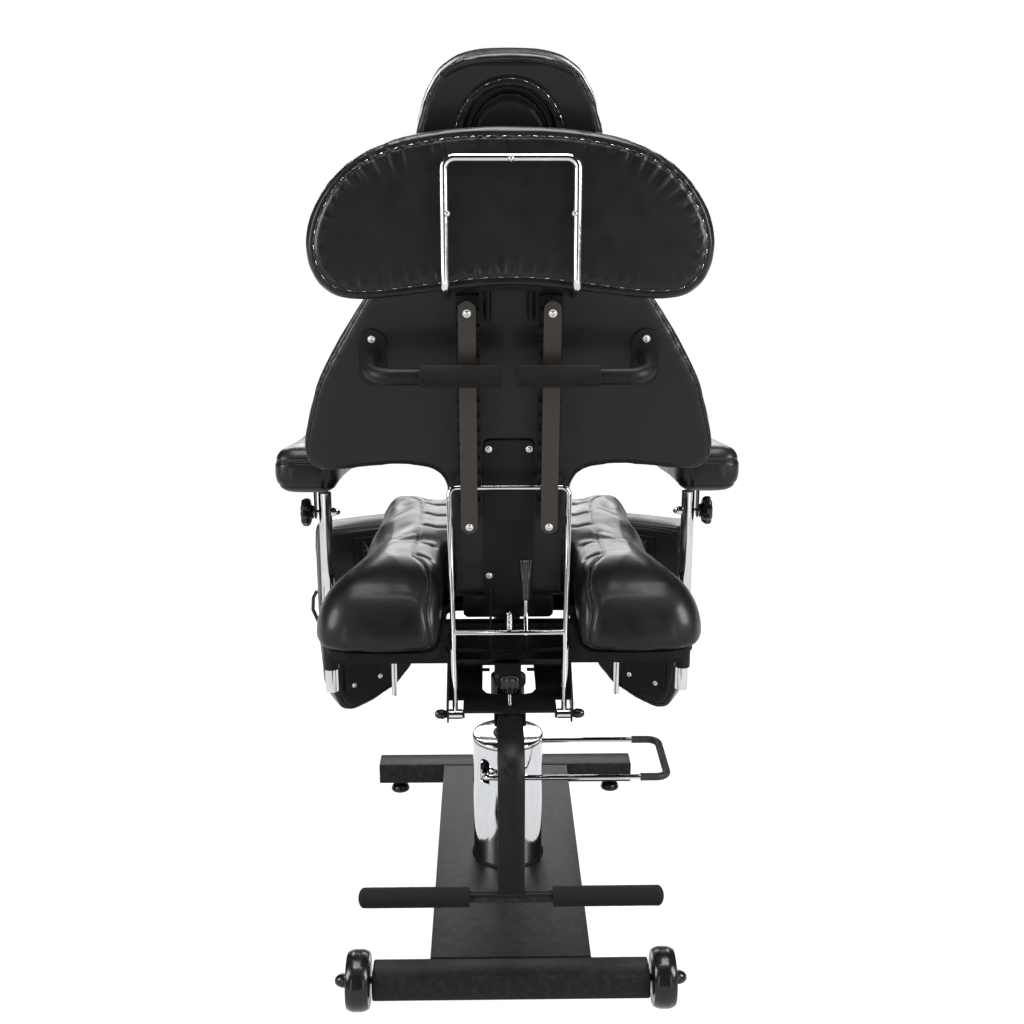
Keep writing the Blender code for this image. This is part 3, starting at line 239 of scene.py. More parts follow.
def gloss(name, rough_low, rough_high, coat):
    """Moulded black plastic."""
    mat, tree, shader = material(name, Coat_Weight=coat, Coat_Roughness=0.08, Specular_IOR_Level=0.25)
    tone = blend_colour(tree, noise(tree, 20.0, 4.0), (0.005, 0.005, 0.005), (0.011, 0.011, 0.011))
    surface(tree, shader, tone, spread(tree, noise(tree, 80.0, 5.0), rough_low, rough_high))
    bumps(tree, shader, [(noise(tree, 45.0, 3.0), 0.0010, 0.08), (noise(tree, 800.0, 2.0), 0.0001, 0.08)])
    return mat


def rubber():
    mat, tree, shader = material("rubber", Specular_IOR_Level=0.4)
    tone = blend_colour(tree, noise(tree, 90.0, 5.0), (0.006, 0.006, 0.006), (0.016, 0.016, 0.016))
    surface(tree, shader, tone, spread(tree, noise(tree, 120.0, 4.0), 0.38, 0.58))
    bumps(tree, shader, [(noise(tree, 500.0, 3.0), 0.0003, 0.2)])
    return mat


def backing():
    """Black woven cover on the board under the seat."""
    mat, tree, shader = material("board_cover", Specular_IOR_Level=0.15)
    weave = add(tree, "ShaderNodeTexWave", {"Vector": place(tree), "Scale": 260.0, "Distortion": 0.6})
    tone = blend_colour(tree, weave.outputs["Fac"], (0.0022, 0.0022, 0.0022), (0.0055, 0.0052, 0.0050))
    surface(tree, shader, tone, spread(tree, noise(tree, 60.0), 0.7, 0.9))
    bumps(tree, shader, [(weave.outputs["Fac"], 0.0004, 0.4)])
    return mat


def thread():
    mat, tree, shader = material("thread", Sheen_Weight=0.2)
    tone = blend_colour(tree, noise(tree, 400.0), (0.012, 0.012, 0.012), (0.045, 0.045, 0.045))
    surface(tree, shader, tone, spread(tree, noise(tree, 500.0), 0.45, 0.7))
    return mat


LOOKS = {
    "leather": leather("leather", 1.0),
    "leather_rear": leather("leather_rear", 1.8),
    "satin": satin(),
    "chrome": chrome("chrome"),
    "brushed": chrome("chrome_cover", (14, 14, 1)),
    "zinc": zinc(),
    "strap": brown_strap(),
    "foam": foam(),
    "gloss": gloss("gloss_plastic", 0.14, 0.30, 0.2),
    "tyre": gloss("wheel_plastic", 0.16, 0.32, 0.15),
    "rubber": rubber(),
    "ply": backing(),
    "thread": thread(),
}


# Finish, bevel width and names of the CAD nodes that stay in view
DRESSED = (
    ("satin", 0.0010, "base_plate"),
    ("satin", 0.0008, "front_bar rear_bar hinge_pin head_rods"),
    ("satin", 0.0012, "seat_frame"),
    ("satin", 0.0005, "tail_bracket handle_left handle_right head_plate arm_bracket_left arm_bracket_right"),
    ("satin", 0.0006, "hinge_plate leg_plate_left leg_plate_right head_socket leg_yoke_left leg_yoke_right"),
    ("satin", 0.0007, "rack_left rack_right"),
    ("strap", 0.0005, "strap_left strap_right"),
    ("satin", 0.0, "footrest_bar"),
    ("ply", 0.0015, "seat_board"),
    ("gloss", 0.0, "wheel_axle"),
    ("chrome", 0.0008, "lift_ram"),
    ("chrome", 0.0, "pedal_rod prop_frame"),
    ("gloss", 0.0006, "prop_bolt_left prop_bolt_right"),
    ("gloss", 0.0005, "release_lever"),
    ("chrome", 0.0006, "arm_post_left arm_post_right leg_rod_left leg_rod_right"),
)


# Meshes


def paint(obj, look):
    obj.data.materials.clear()
    obj.data.materials.append(LOOKS[look])
    return obj


def from_lists(name, verts, faces):
    mesh = bpy.data.meshes.new(name)
    mesh.from_pydata([tuple(v) for v in verts], [], faces)
    mesh.update()
    bm = bmesh.new()
    bm.from_mesh(mesh)
    bmesh.ops.recalc_face_normals(bm, faces=bm.faces)
    bm.to_mesh(mesh)
    bm.free()
    obj = bpy.data.objects.new(name, mesh)
    bpy.context.scene.collection.objects.link(obj)
    return obj


def shade(obj, angle=40.0):
    obj.data.polygons.foreach_set("use_smooth", [True] * len(obj.data.polygons))
    obj.data.set_sharp_from_angle(angle=math.radians(angle))
    return obj


def settled(obj):
    """The object with its modifiers made real."""
    bpy.context.view_layer.update()
    depsgraph = bpy.context.evaluated_depsgraph_get()
    mesh = bpy.data.meshes.new_from_object(obj.evaluated_get(depsgraph))
    obj.modifiers.clear()
    old = obj.data
    obj.data = mesh
    bpy.data.meshes.remove(old)
    return obj


def positions(mesh):
    co = np.empty(len(mesh.vertices) * 3)
    mesh.vertices.foreach_get("co", co)
    return co.reshape(-1, 3)


def normals(mesh):
    out = np.empty(len(mesh.vertices) * 3, np.float32)
    mesh.vertex_normals.foreach_get("vector", out)
    return out.reshape(-1, 3).astype(float)


def put(mesh, co):
    mesh.vertices.foreach_set("co", co.astype(np.float32).ravel())
    mesh.update()


def local(co, matrix):
    """World points as seen in the matrix's frame."""
    inverse = np.array(matrix.inverted())
    return co @ inverse[:3, :3].T + inverse[:3, 3]


def world(points, matrix):
    m = np.array(matrix)
    return np.asarray(points, float) @ m[:3, :3].T + m[:3, 3]


def smooth_path(points, step, closed=False):
    """Evenly spaced points on a smooth curve through the given ones."""
    p = np.asarray(points, float)
    if closed:
        p = np.vstack([p[-1], p, p[0], p[1]])
    else:
        p = np.vstack([2 * p[0] - p[1], p, 2 * p[-1] - p[-2]])
    t = np.linspace(0, 1, 16, endpoint=False)[:, None]
    out = []
    for a, b, c, d in zip(p, p[1:], p[2:], p[3:]):
        out.append(0.5 * (2 * b + (c - a) * t + (2 * a - 5 * b + 4 * c - d) * t ** 2 + (3 * b - a - 3 * c + d) *
                          t ** 3))
    line = np.vstack(out + [p[-2][None]])
    length = np.concatenate([[0], np.cumsum(np.linalg.norm(np.diff(line, axis=0), axis=1))])
    count = max(4, int(round(length[-1] / step)))
    at = np.linspace(0, length[-1], count + 1)
    if closed:
        at = at[:-1]
    return np.stack([np.interp(at, length, line[:, k]) for k in range(line.shape[1])], 1)


def straight_path(points, step):
    """Evenly spaced points on straight runs between the given ones."""
    p = np.asarray(points, float)
    length = np.concatenate([[0], np.cumsum(np.linalg.norm(np.diff(p, axis=0), axis=1))])
    at = np.linspace(0, length[-1], max(4, int(round(length[-1] / step))) + 1)
    return np.stack([np.interp(at, length, p[:, k]) for k in range(p.shape[1])], 1)


def outline_of(node, matrix, step=0.006, hole=0.0):
    """The CAD cushion's widest outline in the matrix's x and y, leaving out a hole of that radius."""
    co = local(positions(NODES[node].data), matrix)
    level = co[np.argmax(np.abs(co[:, 0])), 2]
    ring = np.unique(np.round(co[np.abs(co[:, 2] - level) < 0.0006][:, :2], 5), axis=0)
    centre = (ring.max(0) + ring.min(0)) / 2
    ring = ring[np.linalg.norm(ring - centre, axis=1) > hole]
    angle = np.arctan2(ring[:, 1] - centre[1], ring[:, 0] - centre[0])
    return smooth_path(ring[np.argsort(angle)], step, True)


def inset(outline, amount):
    """The closed outline, listed anticlockwise, drawn in by the amount."""
    along = np.roll(outline, -1, 0) - np.roll(outline, 1, 0)
    along /= np.linalg.norm(along, axis=1)[:, None]
    return outline + np.stack([-along[:, 1], along[:, 0]], 1) * amount


def pad_form(name, outline, stations, matrix):
    """Rings of the outline at each (depth, inset), joined and closed at both ends."""
    verts, faces, n = [], [], len(outline)
    for depth, amount in stations:
        ring = inset(outline, amount)
        verts.extend(world(np.column_stack([ring, np.full(n, depth)]), matrix))
    for k in range(len(stations) - 1):
        for i in range(n):
            j = (i + 1) % n
            faces.append((k * n + i, k * n + j, (k + 1) * n + j, (k + 1) * n + i))
    faces.append(tuple(range(n)))
    faces.append(tuple(range((len(stations) - 1) * n, len(stations) * n)))
    return from_lists(name, verts, faces)


def cad_form(name, node, shrink):
    """The CAD cushion as one welded skin, drawn in by shrink."""
    bm = bmesh.new()
    bm.from_mesh(NODES[node].data)
    bmesh.ops.remove_doubles(bm, verts=bm.verts, dist=0.00002)
    bm.normal_update()
    for vert, move in [(v, v.normal * shrink * min(v.calc_shell_factor(), 2.0)) for v in bm.verts]:
        vert.co -= move
    mesh = bpy.data.meshes.new(name)
    bm.to_mesh(mesh)
    bm.free()
    obj = bpy.data.objects.new(name, mesh)
    bpy.context.scene.collection.objects.link(obj)
    return obj


def relax(obj, rounds, factor=0.5):
    bm = bmesh.new()
    bm.from_mesh(obj.data)
    for _ in range(rounds):
        bmesh.ops.smooth_vert(bm, verts=bm.verts, factor=factor, use_axis_x=True, use_axis_y=True, use_axis_z=True)
    bm.to_mesh(obj.data)
    bm.free()
    return obj


def even_skin(obj, voxel, rounds):
    """Rebuilds the form with even square faces and softens it."""
    mod = obj.modifiers.new("Remesh", "REMESH")
    mod.mode = "VOXEL"
    mod.voxel_size = voxel
    settled(obj)
    return relax(obj, rounds)


def inflate(jobs):
    """Blows the cushions up with cloth under pressure. Each job is (object, pinned vertices, cap, pressure)."""
    rest = [positions(job[0].data) for job in jobs]
    moved = simulate(jobs)
    for (obj, pinned, cap, _), before, after in zip(jobs, rest, moved):
        step = after - before
        size = np.linalg.norm(step, axis=1)
        scale = cap * np.tanh(size / cap) / np.maximum(size, 1e-9)
        put(obj.data, before + step * scale[:, None])
        relax(obj, 2)
        mod = obj.modifiers.new("Finer", "SUBSURF")
        mod.levels = 1
        mod.render_levels = 1
        settled(obj)


def simulate(jobs):
    for obj, pinned, _, pressure in jobs:
        group = obj.vertex_groups.new(name="pinned")
        for weight in np.unique(pinned[pinned > 0]):
            group.add([int(i) for i in np.nonzero(pinned == weight)[0]], float(weight), "REPLACE")
        mod = obj.modifiers.new("Cloth", "CLOTH")
        mod.settings.quality = 4
        mod.settings.use_pressure = True
        mod.settings.uniform_pressure_force = pressure
        mod.settings.effector_weights.gravity = 0.0
        mod.settings.tension_stiffness = 25.0
        mod.settings.compression_stiffness = 25.0
        mod.settings.bending_stiffness = 4.0
        mod.collision_settings.use_collision = False
        if pinned.max() > 0:
            mod.settings.vertex_group_mass = "pinned"
        mod.point_cache.frame_start = 1
        mod.point_cache.frame_end = SIM_FRAMES
    scene = bpy.context.scene
    for number in range(1, SIM_FRAMES + 1):
        scene.frame_set(number)
    depsgraph = bpy.context.evaluated_depsgraph_get()
    moved = [positions(obj.evaluated_get(depsgraph).data) for obj, *_ in jobs]
    for obj, *_ in jobs:
        obj.modifiers.clear()
        obj.vertex_groups.clear()
    scene.frame_set(1)
    return moved


def tree_of(obj):
    return BVHTree.FromPolygons([v.co for v in obj.data.vertices], [tuple(p.vertices) for p in obj.data.polygons])


def laid(path, bvh):
    """The path moved onto the skin, with the skin's normals."""
    hits = [bvh.find_nearest(Vector(p)) for p in path]
    return np.array([h[0] for h in hits]), np.array([h[1] for h in hits])


def near_path(co, path, reach):
    """For each point within reach of the path: (point numbers, distances, nearest path numbers)."""
    lo, hi = path.min(0) - reach, path.max(0) + reach
    close = np.nonzero(((co > lo) & (co < hi)).all(1))[0]
    tree = KDTree(len(path))
    for i, p in enumerate(path):
        tree.insert(p, i)
    tree.balance()
    found = [(i, *tree.find(co[i])[1:]) for i in close]
    found = [(i, at, d) for i, at, d in found if d < reach]
    if not found:
        return np.zeros(0, int), np.zeros(0), np.zeros(0, int)
    index, at, distance = zip(*found)
    return np.array(index), np.array(distance), np.array(at)


def groove(obj, path, width, depth):
    """Presses a rounded valley into the skin along the path."""
    co, push = positions(obj.data), normals(obj.data)
    index, distance, _ = near_path(co, path, width)
    if len(index):
        fall = 0.5 + 0.5 * np.cos(math.pi * distance / width)
        co[index] -= push[index] * (depth * fall)[:, None]
        put(obj.data, co)


def pleats(obj, path, pitch, reach, depth, phase):
    """Gathers the skin into short creases across the path, stronger in some places than in others."""
    co, push = positions(obj.data), normals(obj.data)
    index, distance, at = near_path(co, path, reach * 2.2)
    step = np.linalg.norm(path[1] - path[0])
    s = at * step
    strength = 0.45 + 0.55 * np.sin(s * 9.0 + phase) * np.sin(s * 23.0 + 2.1 * phase)
    length = reach * (0.55 + 0.45 * np.sin(s * 31.0 + 1.3 * phase))
    wave = np.cos(2 * math.pi * s / pitch + 0.7 * np.sin(s * 47.0 + phase))
    fine = np.cos(2 * math.pi * s / pitch * 2.3 + 1.9 * np.sin(s * 61.0))
    fall = np.exp(-(distance / length) ** 1.4)
    move = depth * strength * fall * (0.75 * wave + 0.35 * fine)
    co[index] += push[index] * move[:, None]
    put(obj.data, co)


def tube(points, radius, sides=8, closed=False):
    """Vertices and faces of a round tube along the points; radius is a number or one for each point."""
    p = np.asarray(points, float)
    r = np.broadcast_to(np.asarray(radius, float), (len(p),))
    if closed:
        along = np.roll(p, -1, 0) - np.roll(p, 1, 0)
    else:
        along = np.gradient(p, axis=0)
    along /= np.maximum(np.linalg.norm(along, axis=1)[:, None], 1e-12)
    side = np.cross(along[0], (0.3, 0.2, 1.0))
    side /= np.linalg.norm(side)
    verts, faces, n = [], [], len(p)
    angles = np.arange(sides) * math.tau / sides
    for k in range(n):
        side = side - along[k] * side.dot(along[k])
        side /= np.linalg.norm(side)
        other = np.cross(along[k], side)
        verts.extend(p[k] + r[k] * (math.cos(a) * side + math.sin(a) * other) for a in angles)
    for k in range(n if closed else n - 1):
        m = (k + 1) % n
        for i in range(sides):
            j = (i + 1) % sides
            faces.append((k * sides + i, k * sides + j, m * sides + j, m * sides + i))
    if not closed:
        faces.append(tuple(range(sides)))
        faces.append(tuple((n - 1) * sides + i for i in range(sides)))
    return verts, faces


def joined(name, shapes):
    """One object from several (vertices, faces) shapes."""
    verts, faces = [], []
    for v, f in shapes:
        start = len(verts)
        verts.extend(v)
        faces.extend(tuple(i + start for i in face) for face in f)
    return from_lists(name, verts, faces)


def stitches(name, obj, path, body, pitch, length, radius, look="thread", lift=0.0):
    """A row of short threads that follow the skin and dip into it at both ends."""
    bvh = tree_of(obj)
    line, out = laid(path, bvh)
    step = np.linalg.norm(path[1] - path[0])
    shapes = []
    each = max(2, int(round(length / step)))
    every = max(each + 1, int(round(pitch / step)))
    for start in range(0, len(line) - each, every):
        part = line[start:start + each + 1]
        rise = np.sin(np.linspace(0, math.pi, len(part))) * radius * 1.6 - radius * 0.8 + lift
        shapes.append(tube(part + out[start:start + each + 1] * rise[:, None], radius, 6))
    made = paint(shade(joined(name, shapes), 60), look)
    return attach(made, body)


def piping(name, obj, path, body, radius, closed, look="leather", sink=0.4):
    line, out = laid(path, tree_of(obj))
    made = joined(name, [tube(line + out * radius * (1 - 2 * sink), radius, 10, closed)])
    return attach(paint(shade(made, 60), look), body)


def shifted_path(obj, path, amount):
    """The path moved sideways along the skin."""
    line, out = laid(path, tree_of(obj))
    along = np.gradient(line, axis=0)
    across = np.cross(along, out)
    across /= np.maximum(np.linalg.norm(across, axis=1)[:, None], 1e-12)
    return line + across * amount


def cushion(obj, node, body, look="leather"):
    """Shades the finished cushion and sets it in the frame in place of its CAD solid."""
    shade(obj, 80)
    paint(obj, look)
    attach(obj, body)
    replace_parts(obj, node)
    return obj


def mirror_copy(obj, name):
    """A copy turned over to the chair's left side."""
    mesh = obj.data.copy()
    mesh.transform(Matrix.Diagonal((-1, 1, 1, 1)))
    mesh.flip_normals()
    made = bpy.data.objects.new(name, mesh)
    bpy.context.scene.collection.objects.link(made)
    return made


def spin(name, profile, matrix, steps=64, lobes=None, closed=False):
    """Turns (radius, height) points about z. lobes(angle, height) scales the radius."""
    verts, faces = [], []
    rings = []
    for r, z in profile:
        if r < 1e-6:
            rings.append([len(verts)])
            verts.append((0, 0, z))
            continue
        rings.append(list(range(len(verts), len(verts) + steps)))
        for k in range(steps):
            a = math.tau * k / steps
            s = r * (lobes(a, z) if lobes else 1.0)
            verts.append((s * math.cos(a), s * math.sin(a), z))
    pairs = list(zip(rings, rings[1:])) + ([(rings[-1], rings[0])] if closed else [])
    for a, b in pairs:
        for k in range(steps):
            j = (k + 1) % steps
            if len(a) == 1:
                faces.append((a[0], b[j], b[k]))
            elif len(b) == 1:
                faces.append((a[k], a[j], b[0]))
            else:
                faces.append((a[k], a[j], b[j], b[k]))
    return shade(from_lists(name, world(verts, matrix), faces), 35)


def eased(points, radius, count=5):
    """The profile with its inner corners rounded."""
    out = [points[0]]
    for a, b, c in zip(points, points[1:], points[2:]):
        p, q, s = np.array(a, float), np.array(b, float), np.array(c, float)
        reach = min(radius, np.linalg.norm(p - q) * 0.48, np.linalg.norm(s - q) * 0.48)
        start = q + (p - q) / max(np.linalg.norm(p - q), 1e-9) * reach
        end = q + (s - q) / max(np.linalg.norm(s - q), 1e-9) * reach
        for k in range(count + 1):
            t = k / count
            out.append(tuple((1 - t) ** 2 * start + 2 * t * (1 - t) * q + t * t * end))
    out.append(points[-1])
    return out


def towards(point, direction):
    """A matrix at the point whose z looks along the direction."""
    return Matrix.Translation(Vector(point)) @ Vector(direction).to_track_quat("Z", "Y").to_matrix().to_4x4()


def dress(node, look, bevel=0.0, segments=2, angle=45.0):
    """Gives a CAD node its finish, with its hard edges eased."""
    obj = NODES[node]
    custom = obj.data.attributes.get("custom_normal")
    if custom:
        obj.data.attributes.remove(custom)
    obj.data.polygons.foreach_set("use_smooth", [True] * len(obj.data.polygons))
    weld = obj.modifiers.new("Weld", "WELD")
    weld.merge_threshold = 0.00002
    if bevel:
        mod = obj.modifiers.new("Ease", "BEVEL")
        mod.width = bevel
        mod.segments = segments
        mod.limit_method = "ANGLE"
        mod.angle_limit = math.radians(angle)
        mod.harden_normals = True
    split = obj.modifiers.new("Sharp", "EDGE_SPLIT")
    split.split_angle = math.radians(50)
    paint(obj, look)
    return obj


# Cushions


def level_pins(co, matrix, level, tolerance):
    """1 for points on the flat back at that level, 0 elsewhere."""
    z = local(co, matrix)[:, 2]
    return (np.abs(z - level) < tolerance).astype(float)


def crown_seat(obj):
    """Rounds the seat's outer edges over in a large sweep, its front and notch edges in a small one."""
    base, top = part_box("seat_pad")[0].z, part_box("seat_pad")[1].z
    co = positions(obj.data)
    rim = co[(co[:, 2] > base + 0.02) & (co[:, 2] < base + 0.06)][:, :2]
    notch = (np.abs(rim[:, 0]) < 0.125) & (rim[:, 1] < -0.02)
    for points, reach in ((rim[~notch], 0.120), (rim[notch], 0.022)):
        tree = KDTree(len(points))
        for i, p in enumerate(points):
            tree.insert((*p, 0), i)
        tree.balance()
        depth = np.array([tree.find((x, y, 0))[2] for x, y in co[:, :2]])
        rear = np.clip((0.02 - co[:, 1]) / 0.10, 0, 1)
        near = reach * (0.40 + 0.60 * rear)
        share = np.clip(depth / near, 0, 1)
        keep = (1 - (1 - share) ** 2.1) ** (1 / 2.1)
        floor = 0.16 if reach > 0.05 else 0.72
        height = (co[:, 2] - base) * (floor + (1 - floor) * keep)
        co[:, 2] = np.where(co[:, 2] > base + 0.004, base + height, co[:, 2])
    drop = np.clip((-co[:, 1] - 0.17) / 0.18, 0, 1) ** 2
    co[:, 2] -= 0.022 * drop * np.clip((co[:, 2] - base) / (top - base), 0, 1)
    put(obj.data, co)


def make_forms():
    """Every cushion's smooth form before it is inflated, as jobs for inflate()."""
    jobs = {}
    back = pad_form("backrest_cushion", outline_of("backrest_pad", BACK), [
        (-0.0006, 0.016), (-0.0012, 0.008), (-0.0040, 0.0035), (-0.009, 0.002), (-0.030, 0.002), (-0.050, 0.003),
        (-0.060, 0.007), (-0.066, 0.014), (-0.068, 0.026)], BACK)
    even_skin(back, 0.0056, 3)
    jobs["back"] = (back, level_pins(positions(back.data), BACK, 0.0, 0.004), 0.006, 4.0)
    bean = pad_form("bean_cushion", outline_of("bean_pad", BEAN), [
        (-0.0008, 0.024), (-0.0012, 0.016), (-0.0045, 0.008), (-0.011, 0.004), (-0.022, 0.003), (-0.040, 0.003),
        (-0.050, 0.006), (-0.057, 0.014), (-0.060, 0.026)], BEAN)
    even_skin(bean, 0.0042, 3)
    flat = level_pins(positions(bean.data), BEAN, 0.0, 0.0028)
    jobs["bean"] = (bean, flat, 0.005, 4.0)
    head = cad_form("headrest_cushion", "headrest_pad", 0.0)
    even_skin(head, 0.0042, 3)
    jobs["head"] = (head, np.zeros(len(head.data.vertices)), 0.004, 3.0)
    plug = cad_form("headrest_plug_cushion", "headrest_plug", 0.002)
    even_skin(plug, 0.0035, 4)
    jobs["plug"] = (plug, np.zeros(len(plug.data.vertices)), 0.0012, 1.0)
    seat = cad_form("seat_cushion", "seat_pad", 0.002)
    even_skin(seat, 0.0060, 4)
    crown_seat(seat)
    even_skin(seat, 0.0062, 8)
    co = positions(seat.data)
    jobs["seat"] = (seat, (co[:, 2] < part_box("seat_pad")[0].z + 0.010).astype(float), 0.010, 4.0)
    arm = cad_form("armrest_cushion_right", "armrest_pad_right", -0.003)
    even_skin(arm, 0.0048, 6)
    jobs["arm"] = (arm, np.zeros(len(arm.data.vertices)), 0.007, 4.0)
    leg = cad_form("leg_cushion_right", "leg_pad_right", 0.003)
    even_skin(leg, 0.0054, 4)
    place_ = leg_frame(1)
    jobs["leg"] = (leg, level_pins(positions(leg.data), place_, 0.0, 0.006), 0.006, 4.0)
    return jobs


def clear_of(obj, matrix, limit):
    """Keeps the skin in front of the plane that the hardware lies on."""
    co = local(positions(obj.data), matrix)
    co[:, 2] = np.minimum(co[:, 2], limit)
    put(obj.data, world(co, matrix))


def finish_back(obj):
    outline = outline_of("backrest_pad", BACK, 0.004)
    edge = world(np.column_stack([inset(outline, 0.0055), np.full(len(outline), -0.001)]), BACK)
    side = world(np.column_stack([inset(outline, 0.0), np.full(len(outline), -0.013)]), BACK)
    front = world(np.column_stack([inset(outline, 0.0), np.full(len(outline), -0.056)]), BACK)
    for path, width, depth in ((edge, 0.006, 0.0018), (side, 0.006, 0.0016), (front, 0.007, 0.0025)):
        groove(obj, laid(path, tree_of(obj))[0], width, depth)
    pleats(obj, edge, 0.030, 0.016, 0.0007, 1.0)
    clear_of(obj, BACK, -0.0002)
    cushion(obj, "backrest_pad", "backrest", "leather")
    piping("backrest_edge_seam", obj, edge, "backrest", 0.0011, True)
    piping("backrest_side_seam", obj, side, "backrest", 0.0010, True)
    piping("backrest_front_seam", obj, front, "backrest", 0.0012, True)
    fine = smooth_path(world(np.column_stack([inset(outline, 0.0088), np.full(len(outline), -0.001)]), BACK), 0.0015,
                       True)
    stitches("backrest_edge_thread", obj, fine, "backrest", 0.0066, 0.0045, 0.00035)


def finish_bean(obj):
    outline = outline_of("bean_pad", BEAN, 0.004)
    line = smooth_path(world(np.column_stack([inset(outline, 0.0165), np.full(len(outline), 0.0)]), BEAN), 0.002, True)
    path = laid(line, tree_of(obj))[0]
    groove(obj, path, 0.0075, 0.0026)
    inner = smooth_path(world(np.column_stack([inset(outline, 0.026), np.full(len(outline), 0.0)]), BEAN), 0.002, True)
    pleats(obj, inner, 0.0225, 0.017, 0.0022, 2.3)
    pleats(obj, path, 0.0225, 0.010, 0.0012, 2.3)
    clear_of(obj, BEAN, -0.0004)
    cushion(obj, "bean_pad", "bean", "leather_rear")
    seam = world(np.column_stack([inset(outline, 0.0), np.full(len(outline), -0.052)]), BEAN)
    piping("bean_front_seam", obj, seam, "bean", 0.0013, True)
    # Short dark rubber pieces sunk along the staple pits: painted shade for the dark hollows of the pits.
    staple_pit_line = smooth_path(path, 0.0015, True)
    stitches("bean_staple_pit_shade", obj, staple_pit_line, "bean", 0.0225, 0.0120, 0.0011, "rubber", -0.0004)
    threads = np.roll(staple_pit_line, 6, 0)
    stitches("bean_staples", obj, threads, "bean", 0.0225, 0.0060, 0.00042, "zinc", 0.0009)


def ellipse(rx, ry, cx, cy, count=90, start=0.0, sweep=math.tau):
    a = start + sweep * np.arange(count) / count
    return np.column_stack([cx + rx * np.cos(a), cy + ry * np.sin(a)])


def finish_head(obj, plug):
    outline = outline_of("headrest_pad", BACK, 0.004, 0.100)
    outer = inset(outline, 0.0105)
    near = inset(outline, 0.0070)
    seam = world(np.column_stack([outer, np.full(len(outer), -0.0015)]), BACK)
    groove(obj, laid(seam, tree_of(obj))[0], 0.006, 0.0018)
    lo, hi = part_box("headrest_plug")
    centre_v = local(np.array([(lo + hi) / 2]), BACK)[0][1]
    rx, ry = (hi.x - lo.x) / 2 + 0.019, (hi.x - lo.x) / 2 + 0.025
    hole = world(np.column_stack([ellipse(rx, ry, 0, centre_v), np.full(90, -0.001)]), BACK)
    hole = smooth_path(hole, 0.002, True)
    groove(obj, laid(hole, tree_of(obj))[0], 0.0075, 0.0026)
    pleats(obj, hole, 0.0200, 0.0055, 0.0007, 0.8)
    clear_of(obj, BACK, -0.0002)
    cushion(obj, "headrest_pad", "headrest", "leather")
    piping("headrest_seam", obj, seam, "headrest", 0.0011, True)
    row = smooth_path(world(np.column_stack([near, np.full(len(near), -0.002)]), BACK), 0.0015, True)
    stitches("headrest_thread", obj, row, "headrest", 0.0062, 0.0042, 0.00038)
    # Short dark rubber pieces sunk along the staple pits: painted shade for the dark hollows of the pits.
    staple_pit_line = smooth_path(laid(hole, tree_of(obj))[0], 0.0015, True)
    stitches("headrest_staple_pit_shade", obj, staple_pit_line, "headrest", 0.0200, 0.0110, 0.0010, "rubber", -0.0003)
    stitches("headrest_staples", obj, np.roll(staple_pit_line, 5, 0), "headrest", 0.0200, 0.0062, 0.0004, "zinc", 0.0008)
    front = world(np.column_stack([inset(outline, 0.0), np.full(len(outline), -0.054)]), BACK)
    piping("headrest_front_seam", obj, front, "headrest", 0.0012, True)
    ring = ellipse((hi.x - lo.x) / 2 + 0.0035, (hi.x - lo.x) / 2 + 0.0095, 0, centre_v)
    roll = smooth_path(world(np.column_stack([ring, np.full(90, -0.024)]), BACK), 0.003, True)
    lining = joined("headrest_hole_roll", [tube(roll, 0.0085, 14, True)])
    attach(paint(shade(lining, 70), "leather"), "headrest")
    depth = local(positions(plug.data), BACK)[:, 2].max() - 0.001
    rim = world(np.column_stack([ellipse(0.053, 0.059, 0, centre_v), np.full(90, depth)]), BACK)
    groove(plug, laid(smooth_path(rim, 0.002, True), tree_of(plug))[0], 0.006, 0.0016)
    cushion(plug, "headrest_plug", "headrest", "leather")
    piping("headrest_plug_seam", plug, rim, "headrest", 0.0011, True)


PANEL_SIDE = [(0.203, 0.216), (0.188, 0.176), (0.168, 0.126), (0.162, 0.020), (0.163, -0.100), (0.164, -0.196),
              (0.140, -0.245), (0.112, -0.300)]
CHANNELS = (0.206, 0.126, 0.047, -0.032, -0.113, -0.196)


def panel_half_width(y):
    ys = [p[1] for p in PANEL_SIDE][::-1]
    xs = [p[0] for p in PANEL_SIDE][::-1]
    return float(np.interp(y, ys, xs))


